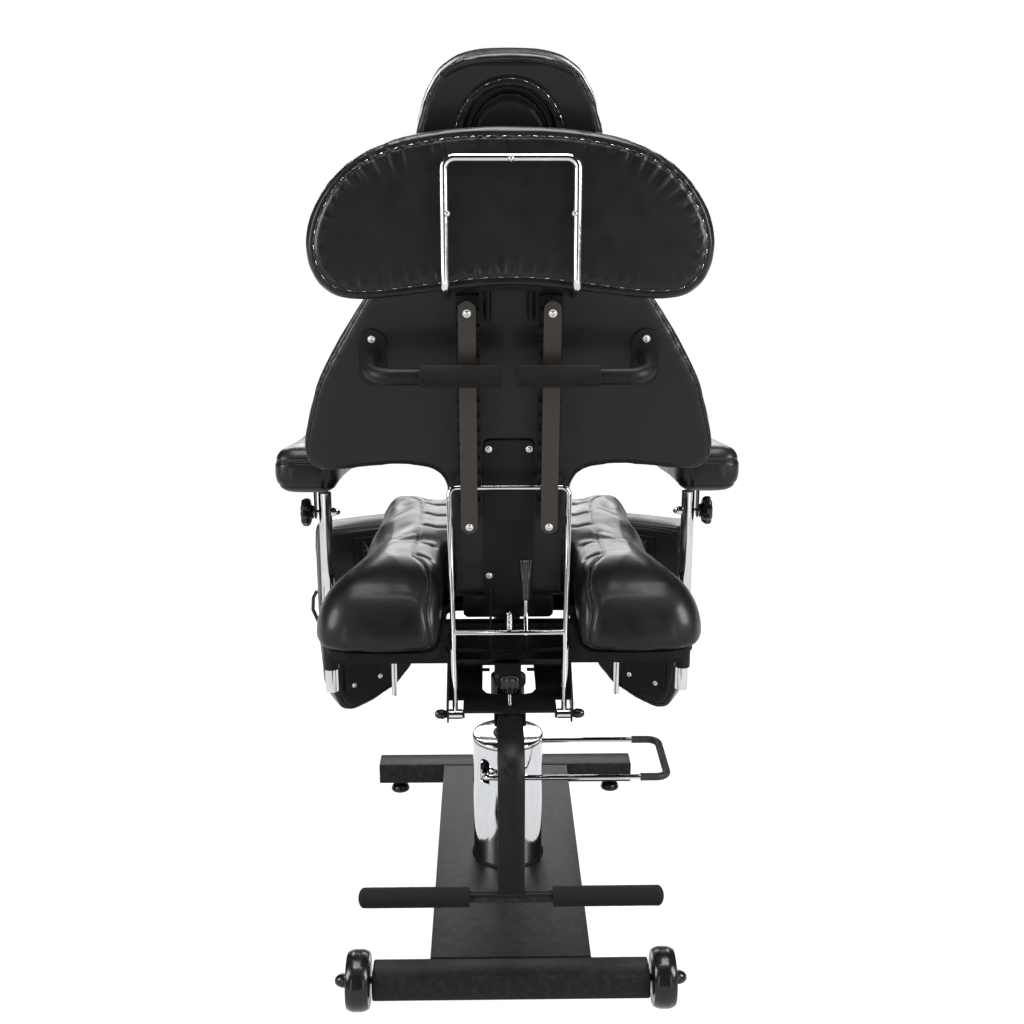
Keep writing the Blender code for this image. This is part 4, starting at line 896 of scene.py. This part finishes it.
def finish_seat(obj):
    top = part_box("seat_pad")[1].z
    co = positions(obj.data)
    upper = co[:, 2] > top - 0.050
    widths = np.interp(co[:, 1], [p[1] for p in PANEL_SIDE][::-1], [p[0] for p in PANEL_SIDE][::-1])
    inside = np.clip((widths - np.abs(co[:, 0])) / 0.030, 0, 1) * upper
    inside *= np.clip((co[:, 1] + 0.30) / 0.03, 0, 1)
    co[:, 2] -= 0.008 * inside
    past = np.abs(co[:, 0]) - widths
    bolster = np.clip(past / 0.05, 0, 1) * np.clip((0.13 - past) / 0.08, 0, 1)
    co[:, 2] += 0.005 * bolster * upper * np.clip((co[:, 1] + 0.30) / 0.08, 0, 1)
    put(obj.data, co)
    notch = 0.116
    rows = []
    for y in CHANNELS:
        w = panel_half_width(y)
        spans = [(-w, w)] if y > -0.075 else [(-w, -notch - 0.004), (notch + 0.004, w)]
        for a, b in spans:
            row = straight_path([(a + 0.008, y, top), (b - 0.008, y, top)], 0.0015)
            rows.append(laid(row, tree_of(obj))[0])
    for row in rows:
        groove(obj, row, 0.015, 0.0020)
        groove(obj, row, 0.0060, 0.0020)
    seams = []
    for side in (-1, 1):
        over = [(side * x, y, top + 0.004) for x, y in PANEL_SIDE]
        front = [(side * 0.212, 0.252, top - 0.045), (side * 0.212, 0.262, top - 0.110)]
        rear = [(side * 0.1175, -0.334, top - 0.030), (side * 0.1185, -0.3455, top - 0.070),
                (side * 0.1195, -0.345, top - 0.122)]
        path = smooth_path(np.array([*front[::-1], *over, *rear]), 0.0015)
        line = laid(path, tree_of(obj))[0]
        seams.append(line)
        groove(obj, line, 0.012, 0.0022)
        groove(obj, line, 0.0050, 0.0016)
    lower = seat_girdle(obj, 0.007)
    groove(obj, lower, 0.006, 0.0015)
    cushion(obj, "seat_pad", "seat", "leather")
    for side, line in zip(("_left", "_right"), seams):
        piping("seat_panel_seam" + side, obj, line, "seat", 0.0009, False)
        for word, amount in (("_in", 0.0042), ("_out", -0.0042)):
            row = shifted_path(obj, line, amount)
            stitches("seat_panel_thread" + word + side, obj, row, "seat", 0.0060, 0.0045, 0.00038)
    for k, row in enumerate(rows):
        stitches("seat_channel_thread_%d" % k, obj, shifted_path(obj, row, 0.0018), "seat", 0.0060, 0.0045, 0.00036)
    piping("seat_bottom_welt", obj, lower, "seat", 0.0016, True)


def seat_girdle(obj, height):
    """A closed line round the seat just above its board."""
    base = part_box("seat_pad")[0].z
    co = local(positions(NODES["seat_pad"].data), Matrix.Identity(4))
    level = co[np.argmax(np.abs(co[:, 0])), 2]
    ring = np.unique(np.round(co[np.abs(co[:, 2] - level) < 0.0006][:, :2], 5), axis=0)
    ordered = [ring[np.argmax(ring[:, 1] + 0.001 * ring[:, 0])]]
    left = [p for p in ring if not np.allclose(p, ordered[0])]
    while left:
        gaps = [np.linalg.norm(p - ordered[-1]) for p in left]
        ordered.append(left.pop(int(np.argmin(gaps))))
    line = smooth_path(np.array(ordered), 0.004, True)
    path = np.column_stack([line * 0.97, np.full(len(line), base + height)])
    return laid(path, tree_of(obj))[0]


def arm_matrix(side):
    """Local x outwards, y along the armrest, z up, at the middle of its cushion."""
    co = positions(NODES["armrest_pad_right"].data)
    tilt = math.radians(-7.0)
    middle = (co.max(0) + co.min(0)) / 2
    return Matrix.Translation((side * middle[0], middle[1], middle[2])) @ Matrix.Rotation(tilt, 4, "X")


def rounded_loop(hx, hy, radius, z, count=8):
    """A closed rectangle with round corners, at that height."""
    out = []
    for cx, cy, start in ((1, 1, 0), (-1, 1, 1), (-1, -1, 2), (1, -1, 3)):
        for k in range(count + 1):
            a = math.pi / 2 * (start + k / count)
            out.append((cx * (hx - radius) + radius * math.cos(a), cy * (hy - radius) + radius * math.sin(a), z))
    return np.array(out)


def finish_arm(obj):
    place_ = arm_matrix(1)
    loop = smooth_path(world(rounded_loop(0.056, 0.191, 0.026, 0.015), place_), 0.002, True)
    path = laid(loop, tree_of(obj))[0]
    groove(obj, path, 0.007, 0.0022)
    pleats(obj, path, 0.013, 0.008, 0.0009, 0.4)
    lower = smooth_path(world(rounded_loop(0.056, 0.191, 0.026, -0.030), place_), 0.002, True)
    groove(obj, laid(lower, tree_of(obj))[0], 0.006, 0.0014)
    corners = []
    for x, y in ((-0.034, -0.192), (-0.034, 0.192)):
        upright = laid(straight_path(world([(x, y, 0.014), (x, y, -0.034)], place_), 0.0015), tree_of(obj))[0]
        groove(obj, upright, 0.0055, 0.0016)
        corners.append(upright)
    left = mirror_copy(obj, "armrest_cushion_left")
    for side, word, piece in ((1, "_right", obj), (-1, "_left", left)):
        cushion(piece, "armrest_pad" + word, "armrest" + word, "leather")
        flip = np.array([side, 1, 1])
        body = "armrest" + word
        piping("armrest_seam" + word, piece, path * flip, body, 0.0010, True)
        stitches("armrest_thread" + word, piece, smooth_path(path * flip + [0, 0, 0.004], 0.0015, True), body, 0.0060,
                 0.0042, 0.00036)
        for k, upright in enumerate(corners):
            piping("armrest_upright_%d%s" % (k, word), piece, upright * flip, body, 0.0009, False)


def finish_leg(obj):
    place_ = leg_frame(1)
    outline = outline_of("leg_pad_right", place_, 0.004)
    near = world(np.column_stack([inset(outline, 0.0125), np.full(len(outline), -0.002)]), place_)
    front = world(np.column_stack([inset(outline, 0.0), np.full(len(outline), -0.078)]), place_)
    groove(obj, laid(near, tree_of(obj))[0], 0.007, 0.0020)
    groove(obj, laid(front, tree_of(obj))[0], 0.006, 0.0018)
    clear_of(obj, place_, -0.0002)
    left = mirror_copy(obj, "leg_cushion_left")
    for side, word, piece in ((1, "_right", obj), (-1, "_left", left)):
        cushion(piece, "leg_pad" + word, "leg_rest" + word, "leather")
        flip = np.array([side, 1, 1])
        piping("leg_back_welt" + word, piece, near * flip, "leg_rest" + word, 0.0018, True, sink=0.3)
        piping("leg_front_seam" + word, piece, front * flip, "leg_rest" + word, 0.0011, True)


def make_cushions():
    jobs = make_forms()
    inflate(list(jobs.values()))
    finish_back(jobs["back"][0])
    finish_bean(jobs["bean"][0])
    finish_head(jobs["head"][0], jobs["plug"][0])
    finish_seat(jobs["seat"][0])
    finish_arm(jobs["arm"][0])
    finish_leg(jobs["leg"][0])


# Hardware


def screw_shape(point, direction, radius, turn=0.0):
    """A pan head with a cross recess."""
    verts, faces, rings, sides = [], [], 9, 32
    for k in range(rings + 1):
        share = k / rings
        r = radius * math.sin(share * math.pi / 2)
        z = radius * 0.42 * math.cos(share * math.pi / 2) ** 0.8
        for i in range(sides):
            a = math.tau * i / sides
            x, y = r * math.cos(a), r * math.sin(a)
            cross = (abs(x) < radius * 0.15 or abs(y) < radius * 0.15) and r < radius * 0.62
            verts.append((x, y, z - (radius * 0.26 if cross else 0.0)))
    for k in range(rings):
        for i in range(sides):
            j = (i + 1) % sides
            faces.append((k * sides + i, (k + 1) * sides + i, (k + 1) * sides + j, k * sides + j))
    base = len(verts)
    verts.extend((radius * math.cos(math.tau * i / sides), radius * math.sin(math.tau * i / sides), -0.0006)
                 for i in range(sides))
    faces.extend((rings * sides + i, base + i, base + (i + 1) % sides, rings * sides + (i + 1) % sides)
                 for i in range(sides))
    faces.append(tuple(base + i for i in range(sides)))
    matrix = towards(point, direction) @ Matrix.Rotation(turn, 4, "Z")
    return list(world(verts, matrix)), faces


def washer_shape(point, direction, radius, thickness=0.0008):
    profile = [(radius * 0.5, 0), (radius, 0), (radius, thickness), (radius * 0.5, thickness)]
    verts, faces, sides = [], [], 32
    for r, z in profile:
        verts.extend((r * math.cos(math.tau * i / sides), r * math.sin(math.tau * i / sides), z) for i in range(sides))
    for k in range(4):
        m = (k + 1) % 4
        for i in range(sides):
            j = (i + 1) % sides
            faces.append((k * sides + i, k * sides + j, m * sides + j, m * sides + i))
    return list(world(verts, towards(point, direction))), faces


def screws(name, body, places):
    """Screws at (point, direction, radius), each with its washer, as one piece."""
    shapes = []
    for k, (point, direction, radius) in enumerate(places):
        shapes.append(washer_shape(point, direction, radius * 1.35))
        head = Vector(point) + Vector(direction).normalized() * 0.0008
        shapes.append(screw_shape(head, direction, radius, 0.5 + 1.3 * k))
    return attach(paint(shade(joined(name, shapes), 30), "zinc"), body)


def bead(points, radius, seed):
    """A weld bead with a rippled surface."""
    path = straight_path(points, radius * 0.5)
    ripple = 1 + 0.16 * np.sin(np.arange(len(path)) * 1.9 + seed) + 0.10 * np.sin(np.arange(len(path)) * 0.7 + seed)
    ends = np.minimum(1, np.minimum(np.arange(len(path)) + 1, np.arange(len(path))[::-1] + 1) / 3)
    return tube(path, radius * ripple * ends, 10)


def beads(name, body, look, runs):
    shapes = [bead(points, radius, k) for k, (points, radius) in enumerate(runs)]
    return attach(paint(shade(joined(name, shapes), 60), look), body)


def on_back(x, v, n):
    return Vector(world([(x, v, n)], BACK)[0])


def make_screws():
    plate = 0.0043
    places = [(on_back(x, v, plate), REAR, 0.0042) for x in (-0.034, 0.034) for v in (0.126, 0.371)]
    places += [(on_back(s * 0.067, v, 0.0620), REAR, 0.0048) for s in (-1, 1) for v in (0.253, 0.6285)]
    places += [(on_back(s * 0.222, 0.566, plate), REAR, 0.0046) for s in (-1, 1)]
    screws("backrest_screws", "backrest", places)
    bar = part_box("bean_bar")
    x, top, rear = bar[1].x - 0.006, bar[1].z - 0.006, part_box("bean_bar")[0].y
    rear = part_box("bean_pad")[0].y - 0.0003
    places = [((0, rear - 0.0112, top - 0.0005), (0, -1, 0), 0.0036)]
    places += [((s * (x - 0.0045), rear - 0.0105, top - 0.078), (0, -1, 0), 0.0034) for s in (-1, 1)]
    screws("bean_bar_screws", "bean", places)
    for side, word in SIDES:
        m = leg_frame(side)
        outwards = Vector(m.col[2][:3])
        ring = smooth_path(rounded_loop(0.050, 0.056, 0.012, 0.0)[:, :2] + [0.030, 0.292], 0.004, True)
        if side < 0:
            ring = ring[::-1]
        plate = pad_form("leg_lower_plate" + word, ring, [(0.0004, 0.0), (0.0022, 0.0), (0.0028, 0.0006)], m)
        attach(paint(shade(plate, 30), "satin"), "leg_rest" + word)
        places = [(Vector(world([p], m)[0]), outwards, 0.0042) for p in
                  ((0.059, 0.259, 0.0028), (-0.003, 0.270, 0.0028), (0.041, 0.317, 0.0028))]
        screws("leg_plate_screws" + word, "leg_rest" + word, places)


def make_pump():
    lo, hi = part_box("pump_cover")
    middle = (lo + hi) / 2
    radius = (hi.x - lo.x) / 2
    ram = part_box("lift_ram")[1].x + 0.0003
    top, floor = hi.z, lo.z
    dress("pump_cover", "brushed", 0.0009, 3, 50.0)
    at = Matrix.Translation((0, middle.y, 0))
    # A thin dark rubber ring below the rim bead: painted shade standing for the dark groove in the chrome cover.
    line = spin("pump_groove_shade_ring", eased([(radius + 0.0001, top - 0.0098), (radius + 0.0005, top - 0.0094),
                                        (radius + 0.0005, top - 0.0076), (radius + 0.0001, top - 0.0072)], 0.0003), at,
                96, None, True)
    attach(paint(line, "rubber"), "base")
    bead_ = spin("pump_rim_bead", eased([(radius + 0.0001, top - 0.0046), (radius + 0.0011, top - 0.0036),
                                         (radius + 0.0011, top - 0.0022), (radius + 0.0001, top - 0.0012)], 0.0005),
                                         at,
                 96, None, True)
    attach(paint(bead_, "chrome"), "base")
    skirt = spin("pump_foot_ring", eased([(radius + 0.0002, floor + 0.0045), (radius + 0.0022, floor + 0.0035),
                                          (radius + 0.0034, floor + 0.0004), (radius + 0.0002, floor + 0.0002)],
                                          0.0008),
                 Matrix.Translation((0, middle.y, 0)), 96, None, True)
    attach(paint(skirt, "satin"), "base")
    gasket = spin("pump_dust_seal", eased([(ram, top + 0.0002), (ram + 0.006, top + 0.0002), (ram + 0.005, top +
                                                                                              0.004),
                                           (ram, top + 0.005)], 0.001), Matrix.Translation((0, middle.y, 0)), 64, None,
                  True)
    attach(paint(gasket, "rubber"), "base")


def make_pedal():
    """The rocker's sleeve in the cover's slot, and the ribbed sleeve on the loop."""
    rod_lo, rod_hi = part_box("pedal_rod")
    lo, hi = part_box("pedal_sleeve")
    z = (lo.z + hi.z) / 2
    radius = (hi.z - lo.z) / 2
    y0, y1 = rod_lo.y + 0.005, rod_hi.y - 0.005
    end = rod_hi.x - 0.005
    bend = 0.022
    corners = []
    for cy, start in ((y0 + bend, -math.pi / 2), (y1 - bend, 0.0)):
        for k in range(9):
            a = start + math.pi / 2 * k / 8
            corners.append((end - bend + bend * math.cos(a), cy + bend * math.sin(a), z))
    path = straight_path([(lo.x, y0, z), *corners, (lo.x, y1, z)], 0.0009)
    count = len(path)
    ribs = 1 - 0.10 * (0.5 + 0.5 * np.cos(np.arange(count) * math.tau / 5)) ** 3
    lip = np.exp(-(np.minimum(np.arange(count), np.arange(count)[::-1]) / 5.0) ** 2) * 0.06
    sleeve = joined("pedal_grip", [tube(path, (radius - 0.0002) * (ribs + lip * 0.5), 20)])
    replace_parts(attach(paint(shade(sleeve, 70), "rubber"), "pedal"), "pedal_sleeve")
    x = PIVOT["pump_pedal"].x
    collar = eased([(0.0052, -0.012), (0.0074, -0.012), (0.0074, 0.012), (0.0052, 0.012)], 0.0012)
    spin_ = spin("pedal_collar", collar, towards((x, rod_lo.y + 0.022, z), (0, 1, 0)), 32, None, True)
    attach(paint(spin_, "chrome"), "pedal")


def make_wheels():
    for side, word in SIDES:
        lo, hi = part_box("wheel" + word)
        r = (hi.z - lo.z) / 2
        inner, outer = sorted((abs(lo.x), abs(hi.x)))
        centre = Vector((0, (lo.y + hi.y) / 2, (lo.z + hi.z) / 2))
        w = outer - inner
        points = [(0.0064, 0.0), (0.030, 0.0), (0.034, 0.0025), (0.041, 0.0025), (0.0455, 0.0008), (r - 0.0022, 0.006),
                  (r, 0.013), (r, w / 2), (r, w - 0.013), (r - 0.0022, w - 0.006), (0.0455, w - 0.0008),
                  (0.041, w - 0.0035), (0.024, w - 0.0050), (0.0215, w - 0.0008), (0.0180, w), (0.0064, w)]
        profile = eased(points, 0.0035, 5)
        wheel = spin("wheel_body" + word, profile, towards(centre + Vector((side * inner, 0, 0)), (side, 0, 0)), 96,
                     None,
                     True)
        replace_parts(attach(paint(wheel, "tyre"), "wheel" + word), "wheel" + word)


def make_glides():
    for side, word in SIDES:
        lo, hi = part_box("glide" + word)
        r = (hi.x - lo.x) / 2
        at = Matrix.Translation(((lo.x + hi.x) / 2, (lo.y + hi.y) / 2, 0))
        points = [(0.0, 0.0), (r - 0.0015, 0.0), (r, 0.0045), (r - 0.0015, 0.008), (0.0175, 0.0125), (0.013, 0.0155),
                  (0.0085, 0.0162), (0.0050, 0.0165), (0.0050, hi.z), (0.0, hi.z)]
        foot = spin("glide_foot" + word, eased(points, 0.0018, 4), at, 64)
        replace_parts(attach(paint(foot, "gloss"), "glide" + word), "glide" + word)


def grip(name, node, body, start, end, bore, dome):
    """A foam sleeve from its open end at start to its domed end."""
    lo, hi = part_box(node)
    r = (hi.z - lo.z) / 2
    a, b = Vector(start), Vector(end)
    length = (b - a).length
    points = [(bore, 0.0), (r - 0.0012, 0.0), (r, 0.0014), (r, length - dome)]
    steps = [(r * math.cos(t), length - dome + dome * math.sin(t)) for t in np.linspace(0.15, math.pi / 2 - 0.05, 9)]
    points += steps + [(0.0, length)]
    body_points = []
    for p, q in zip(points, points[1:]):
        count = max(1, int((Vector(q) - Vector(p)).length / 0.004))
        body_points += [tuple(Vector(p).lerp(Vector(q), k / count)) for k in range(count)]
    body_points.append(points[-1])

    def uneven(angle, height):
        return 1 - 0.012 * (0.5 + 0.5 * math.sin(3 * angle + height * 210) * math.sin(height * 95 + angle))

    made = spin(name, body_points, towards(a, b - a), 56, uneven)
    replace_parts(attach(paint(made, "foam"), body), node)


def make_grips():
    for side, word in SIDES:
        lo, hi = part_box("footrest_grip" + word)
        inner, outer = sorted((abs(lo.x), abs(hi.x)))
        y, z = (lo.y + hi.y) / 2, (lo.z + hi.z) / 2
        grip("footrest_foam" + word, "footrest_grip" + word, "footrest", (side * inner, y, z), (side * outer, y, z),
             0.0098, 0.010)
        lo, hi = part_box("handle_grip" + word)
        inner, outer = sorted((abs(lo.x), abs(hi.x)))
        y, z = (lo.y + hi.y) / 2, (lo.z + hi.z) / 2
        grip("handle_foam" + word, "handle_grip" + word, "backrest", (side * outer, y, z), (side * inner, y, z),
             0.0138, 0.006)


def make_knobs():
    lo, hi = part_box("clamp_knob")
    centre = (lo + hi) / 2
    r = (hi.x - lo.x) / 2
    low = hi.z - 0.026

    def star(angle, height):
        share = min(1.0, max(0.0, (height - low + 0.001) / 0.004))
        return 1 - share * 0.20 * (0.5 - 0.5 * math.cos(6 * angle)) ** 0.8

    points = [(0.0, low - 0.012), (0.0085, low - 0.012), (0.0105, low - 0.010), (0.0115, low - 0.002),
              (r - 0.004, low),
              (r, low + 0.004), (r, hi.z - 0.006), (r - 0.0035, hi.z - 0.001), (r - 0.010, hi.z - 0.0004),
              (0.009, hi.z - 0.0022), (0.0, hi.z - 0.0022)]
    knob = spin("clamp_knob_body", eased(points, 0.0025, 5), Matrix.Translation((centre.x, centre.y, 0)), 96, star)
    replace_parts(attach(paint(knob, "gloss"), "clamp_knob"), "clamp_knob")
    rounds = []
    z = lo.z + 0.0002
    while z < low - 0.0120:
        rounds += [(0.0040, z), (0.0034, z + 0.0005)]
        z += 0.0010
    stud = spin("clamp_stud", [(0.0, lo.z), *rounds, (0.0034, low - 0.0115), (0.0, low - 0.0115)],
                Matrix.Translation((centre.x, centre.y, 0)), 32)
    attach(paint(stud, "chrome"), "clamp_knob")
    for side, word in SIDES:
        lo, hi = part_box("arm_knob" + word)
        inner, outer = sorted((abs(lo.x), abs(hi.x)))
        centre = PIVOT["arm_tilt" + word]
        r = (hi.z - lo.z) / 2
        w = outer - inner

        def lobed(angle, height):
            share = min(1.0, max(0.0, (height - 0.004) / 0.004))
            return 1 - share * 0.13 * (0.5 - 0.5 * math.cos(9 * angle)) ** 0.7

        points = [(0.0044, 0.0), (0.012, 0.0), (0.013, 0.004), (0.0225, 0.006), (r - 0.002, 0.0085), (r, 0.0115),
                  (r, w - 0.004), (r - 0.0035, w - 0.0006), (0.016, w), (0.012, w - 0.0025), (0.0, w - 0.0030)]
        at = towards((side * inner, centre.y, centre.z), (side, 0, 0))
        knob = spin("arm_knob_body" + word, eased(points, 0.002, 4), at, 108, lobed)
        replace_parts(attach(paint(knob, "gloss"), "arm_knob" + word), "arm_knob" + word)
        washer = eased([(0.0045, -0.0014), (0.0095, -0.0014), (0.0095, -0.0002), (0.0045, -0.0002)], 0.0003)
        ring = spin("arm_washer" + word, washer, at, 48, None, True)
        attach(paint(ring, "chrome"), "arm_knob" + word)


def make_prop_parts():
    lo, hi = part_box("prop_grip")
    foot = PIVOT["prop_swing"]
    top = on_back(0, 0.3107, 0.0280)
    up = (top - foot).normalized()
    x = (lo.x + hi.x) / 2
    start = (lo.z - foot.z) / up.z + 0.0006
    end = (hi.z - foot.z) / up.z - 0.0002
    wide = (hi.x - lo.x) / 2 * 1.1
    at = towards(foot + Vector((x, 0, 0)), up)

    def flutes(angle, height):
        share = min(1.0, max(0.0, (height - start - 0.030) / 0.012))
        return 1 - share * 0.14 * (0.5 - 0.5 * math.cos(8 * angle))

    points = [(0.0, start), (wide * 0.60, start), (wide * 0.64, start + 0.010), (wide * 0.72, start + 0.030),
              (wide * 0.95, end - 0.016), (wide, end - 0.008), (wide * 0.93, end - 0.0022),
              (wide * 0.55, end - 0.0004),
              (0.0, end)]
    made = spin("prop_lever_grip", eased(points, 0.003, 5), at, 96, flutes)
    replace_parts(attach(paint(made, "gloss"), "prop"), "prop_grip")
    lo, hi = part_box("prop_spring")
    cross = (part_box("prop_spring")[0].z - foot.z) / up.z
    base = foot + up * (cross + 0.0009)
    matrix = towards(base, up)
    turns, length = 13, 0.026
    helix = [(0.0050 * math.cos(math.tau * k / 20), 0.0050 * math.sin(math.tau * k / 20), length * k / (turns * 20))
             for k in range(turns * 20 + 1)]
    hook = [(0.0042, 0.0012, length + 0.0008), (0.0018, 0.0008, length + 0.0024), (-0.0016, 0, length + 0.0030),
            (-0.0030, 0, length + 0.0012)]
    wire = joined("prop_spring_coil", [tube(world(helix + hook, matrix), 0.00085, 8)])
    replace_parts(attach(paint(shade(wire, 60), "chrome"), "prop"), "prop_spring")


def make_foot_flap():
    """The leather tail that closes the gap under the backrest's foot."""
    low, high, wide = 0.027, 0.100, 0.081
    outline = np.array([(-wide, high), (-wide, low + 0.006), (-wide + 0.006, low), (wide - 0.006, low),
                        (wide, low + 0.006), (wide, high)])
    ring = straight_path(np.vstack([outline, outline[:1]]), 0.004)[:-1]
    flap = pad_form("backrest_foot_flap", ring, [(-0.016, 0.0015), (-0.0165, 0.0), (-0.0215, 0.0), (-0.022, 0.0015)],
                    BACK)
    paint(shade(flap, 50), "leather")
    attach(flap, "backrest")


def make_bean_bar():
    """The U bar behind the bean cushion, bent forward under it and into the sockets."""
    lo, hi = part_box("bean_bar")
    x, r = hi.x - 0.006, 0.0058
    rear = lo.y + 0.006
    top, low = hi.z - 0.006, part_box("bean_pad")[0].z + 0.0195
    bend = 0.016
    inner = Vector((x, hi.y - 0.002, lo.z + 0.006 + (hi.y - lo.y) * math.tan(LEAN) - 0.004))
    under = inner + REAR * 0.066
    corner = [(x - bend + bend * math.cos(a), rear, top - bend + bend * math.sin(a))
              for a in np.linspace(math.pi / 2, 0, 9)]
    foot = [(x, rear + 0.011 - 0.011 * math.cos(a), low + 0.011 - 0.011 * math.sin(a))
            for a in np.linspace(0, math.pi / 2, 7)]
    half = [(0, rear, top), *corner, *foot, tuple(under + Vector((0, 0, 0.004))), tuple(under - REAR * 0.012),
            tuple(inner)]
    shape = half[::-1] + [(-a, b, c) for a, b, c in half[1:]]
    bar = joined("bean_u_bar", [tube(straight_path(shape, 0.0022), r, 20)])
    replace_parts(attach(paint(shade(bar, 60), "chrome"), "bean"), "bean_bar")


def make_welds():
    """Weld beads where the steel pieces meet."""
    plate_lo, plate_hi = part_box("base_plate")
    z = plate_hi.z + 0.0002
    half = plate_hi.x - 0.002
    runs = [([(-half, y, z), (half, y, z)], 0.0014) for y in (plate_lo.y + 0.0005, plate_hi.y - 0.0005)]
    beads("base_welds", "base", "satin", runs)
    foot = PIVOT["prop_swing"]
    up = (on_back(0, 0.3107, 0.0280) - foot).normalized()
    cross = foot + up * ((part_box("prop_spring")[0].z - foot.z) / up.z - 0.0055)
    runs = []
    for s in (-1, 1):
        for t in (-1, 1):
            a = cross + Vector((s * 0.0905, 0, 0)) + up * 0.0046 * t
            runs.append(([tuple(a), tuple(a + Vector((s * 0.0055, 0, 0)))], 0.0017))
    base = cross + Vector((0.028, 0, 0)) + up * 0.0044
    runs.append(([tuple(base + Vector((-0.004, 0, 0))), tuple(base + Vector((0.004, 0, 0)))], 0.0016))
    beads("prop_welds", "prop", "chrome", runs)
    tube_lo, tube_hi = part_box("footrest_grip_left")
    y, z = (tube_lo.y + tube_hi.y) / 2, (tube_lo.z + tube_hi.z) / 2
    runs = [([(s * 0.0225, y - 0.0085, z - 0.002), (s * 0.0225, y - 0.006, z + 0.0078)], 0.0017) for s in (-1, 1)]
    runs.append(([(-0.021, y - 0.0082, z + 0.0062), (0.021, y - 0.0082, z + 0.0062)], 0.0014))
    beads("footrest_welds", "footrest", "satin", runs)


def dress_frame():
    for look, bevel, names in DRESSED:
        for node in names.split():
            dress(node, look, bevel)


# Studio


def area_light(name, location, target, size, power, shape="RECTANGLE", tall=None):
    lamp = bpy.data.lights.new(name, "AREA")
    lamp.shape = shape
    lamp.size = size
    lamp.size_y = tall or size
    lamp.energy = power
    obj = bpy.data.objects.new(name, lamp)
    obj.location = location
    aim = Vector(target) - Vector(location)
    obj.rotation_euler = aim.to_track_quat("-Z", "Y").to_euler()
    bpy.context.scene.collection.objects.link(obj)
    return obj


def glow(name, strength, albedo):
    """Pale matte surface with a little light of its own."""
    mat, tree, shader = material(name, Roughness=0.9, Specular_IOR_Level=0.0)
    shader.inputs["Base Color"].default_value = (albedo, albedo, albedo, 1)
    shader.inputs["Emission Color"].default_value = (1, 1, 1, 1)
    shader.inputs["Emission Strength"].default_value = strength
    return mat


def make_studio():
    floor = from_lists("floor", [(-14, -14, 0), (14, -14, 0), (14, 14, 0), (-14, 14, 0)], [(0, 1, 2, 3)])
    floor.data.materials.append(glow("floor_white", 1.0, 0.12))
    floor.visible_diffuse = False
    sky = spin("backdrop", [(0, 13)] + [(13 * math.sin(a), 13 * math.cos(a)) for a in np.linspace(0.1, 1.75, 14)],
               Matrix.Identity(4), 48)
    sky.data.materials.append(glow("backdrop_white", 1.0, 0.0))
    for flag in ("visible_glossy", "visible_diffuse", "visible_shadow", "visible_transmission"):
        setattr(sky, flag, False)
    world_ = bpy.data.worlds.new("studio")
    world_.use_nodes = True
    world_.node_tree.nodes["Background"].inputs["Color"].default_value = (0.95, 0.97, 1.0, 1)
    world_.node_tree.nodes["Background"].inputs["Strength"].default_value = 0.035
    bpy.context.scene.world = world_
    target = (0, 0, 0.8)
    area_light("box_right", (2.3, -1.5, 1.9), target, 1.0, 100, tall=1.5)
    area_light("box_left", (-2.4, -1.3, 1.7), target, 1.0, 80, tall=1.5)
    area_light("box_top", (0.0, -0.2, 3.1), target, 1.7, 120)
    area_light("strip_right", (1.3, -2.6, 0.7), (0, 0, 0.5), 0.35, 9, tall=1.7)
    area_light("strip_left", (-1.3, -2.6, 0.7), (0, 0, 0.5), 0.35, 9, tall=1.7)
    area_light("box_far", (0, 2.7, 1.8), target, 3.0, 75, tall=1.3)
    cam = bpy.data.cameras.new("camera")
    cam.sensor_width = 36.0
    cam.lens = 46.22
    cam.clip_end = 100.0
    obj = bpy.data.objects.new("camera", cam)
    obj.location = (-0.0329, -2.4007, 1.4074)
    obj.rotation_euler = (math.radians(90 - 15.25), 0, math.radians(-1.01))
    bpy.context.scene.collection.objects.link(obj)
    bpy.context.scene.camera = obj
    bpy.context.scene.view_settings.view_transform = "Standard"


dress_frame()
make_cushions()
make_screws()
make_pump()
make_pedal()
make_wheels()
make_glides()
make_grips()
make_knobs()
make_prop_parts()
make_bean_bar()
make_foot_flap()
make_welds()
make_studio()
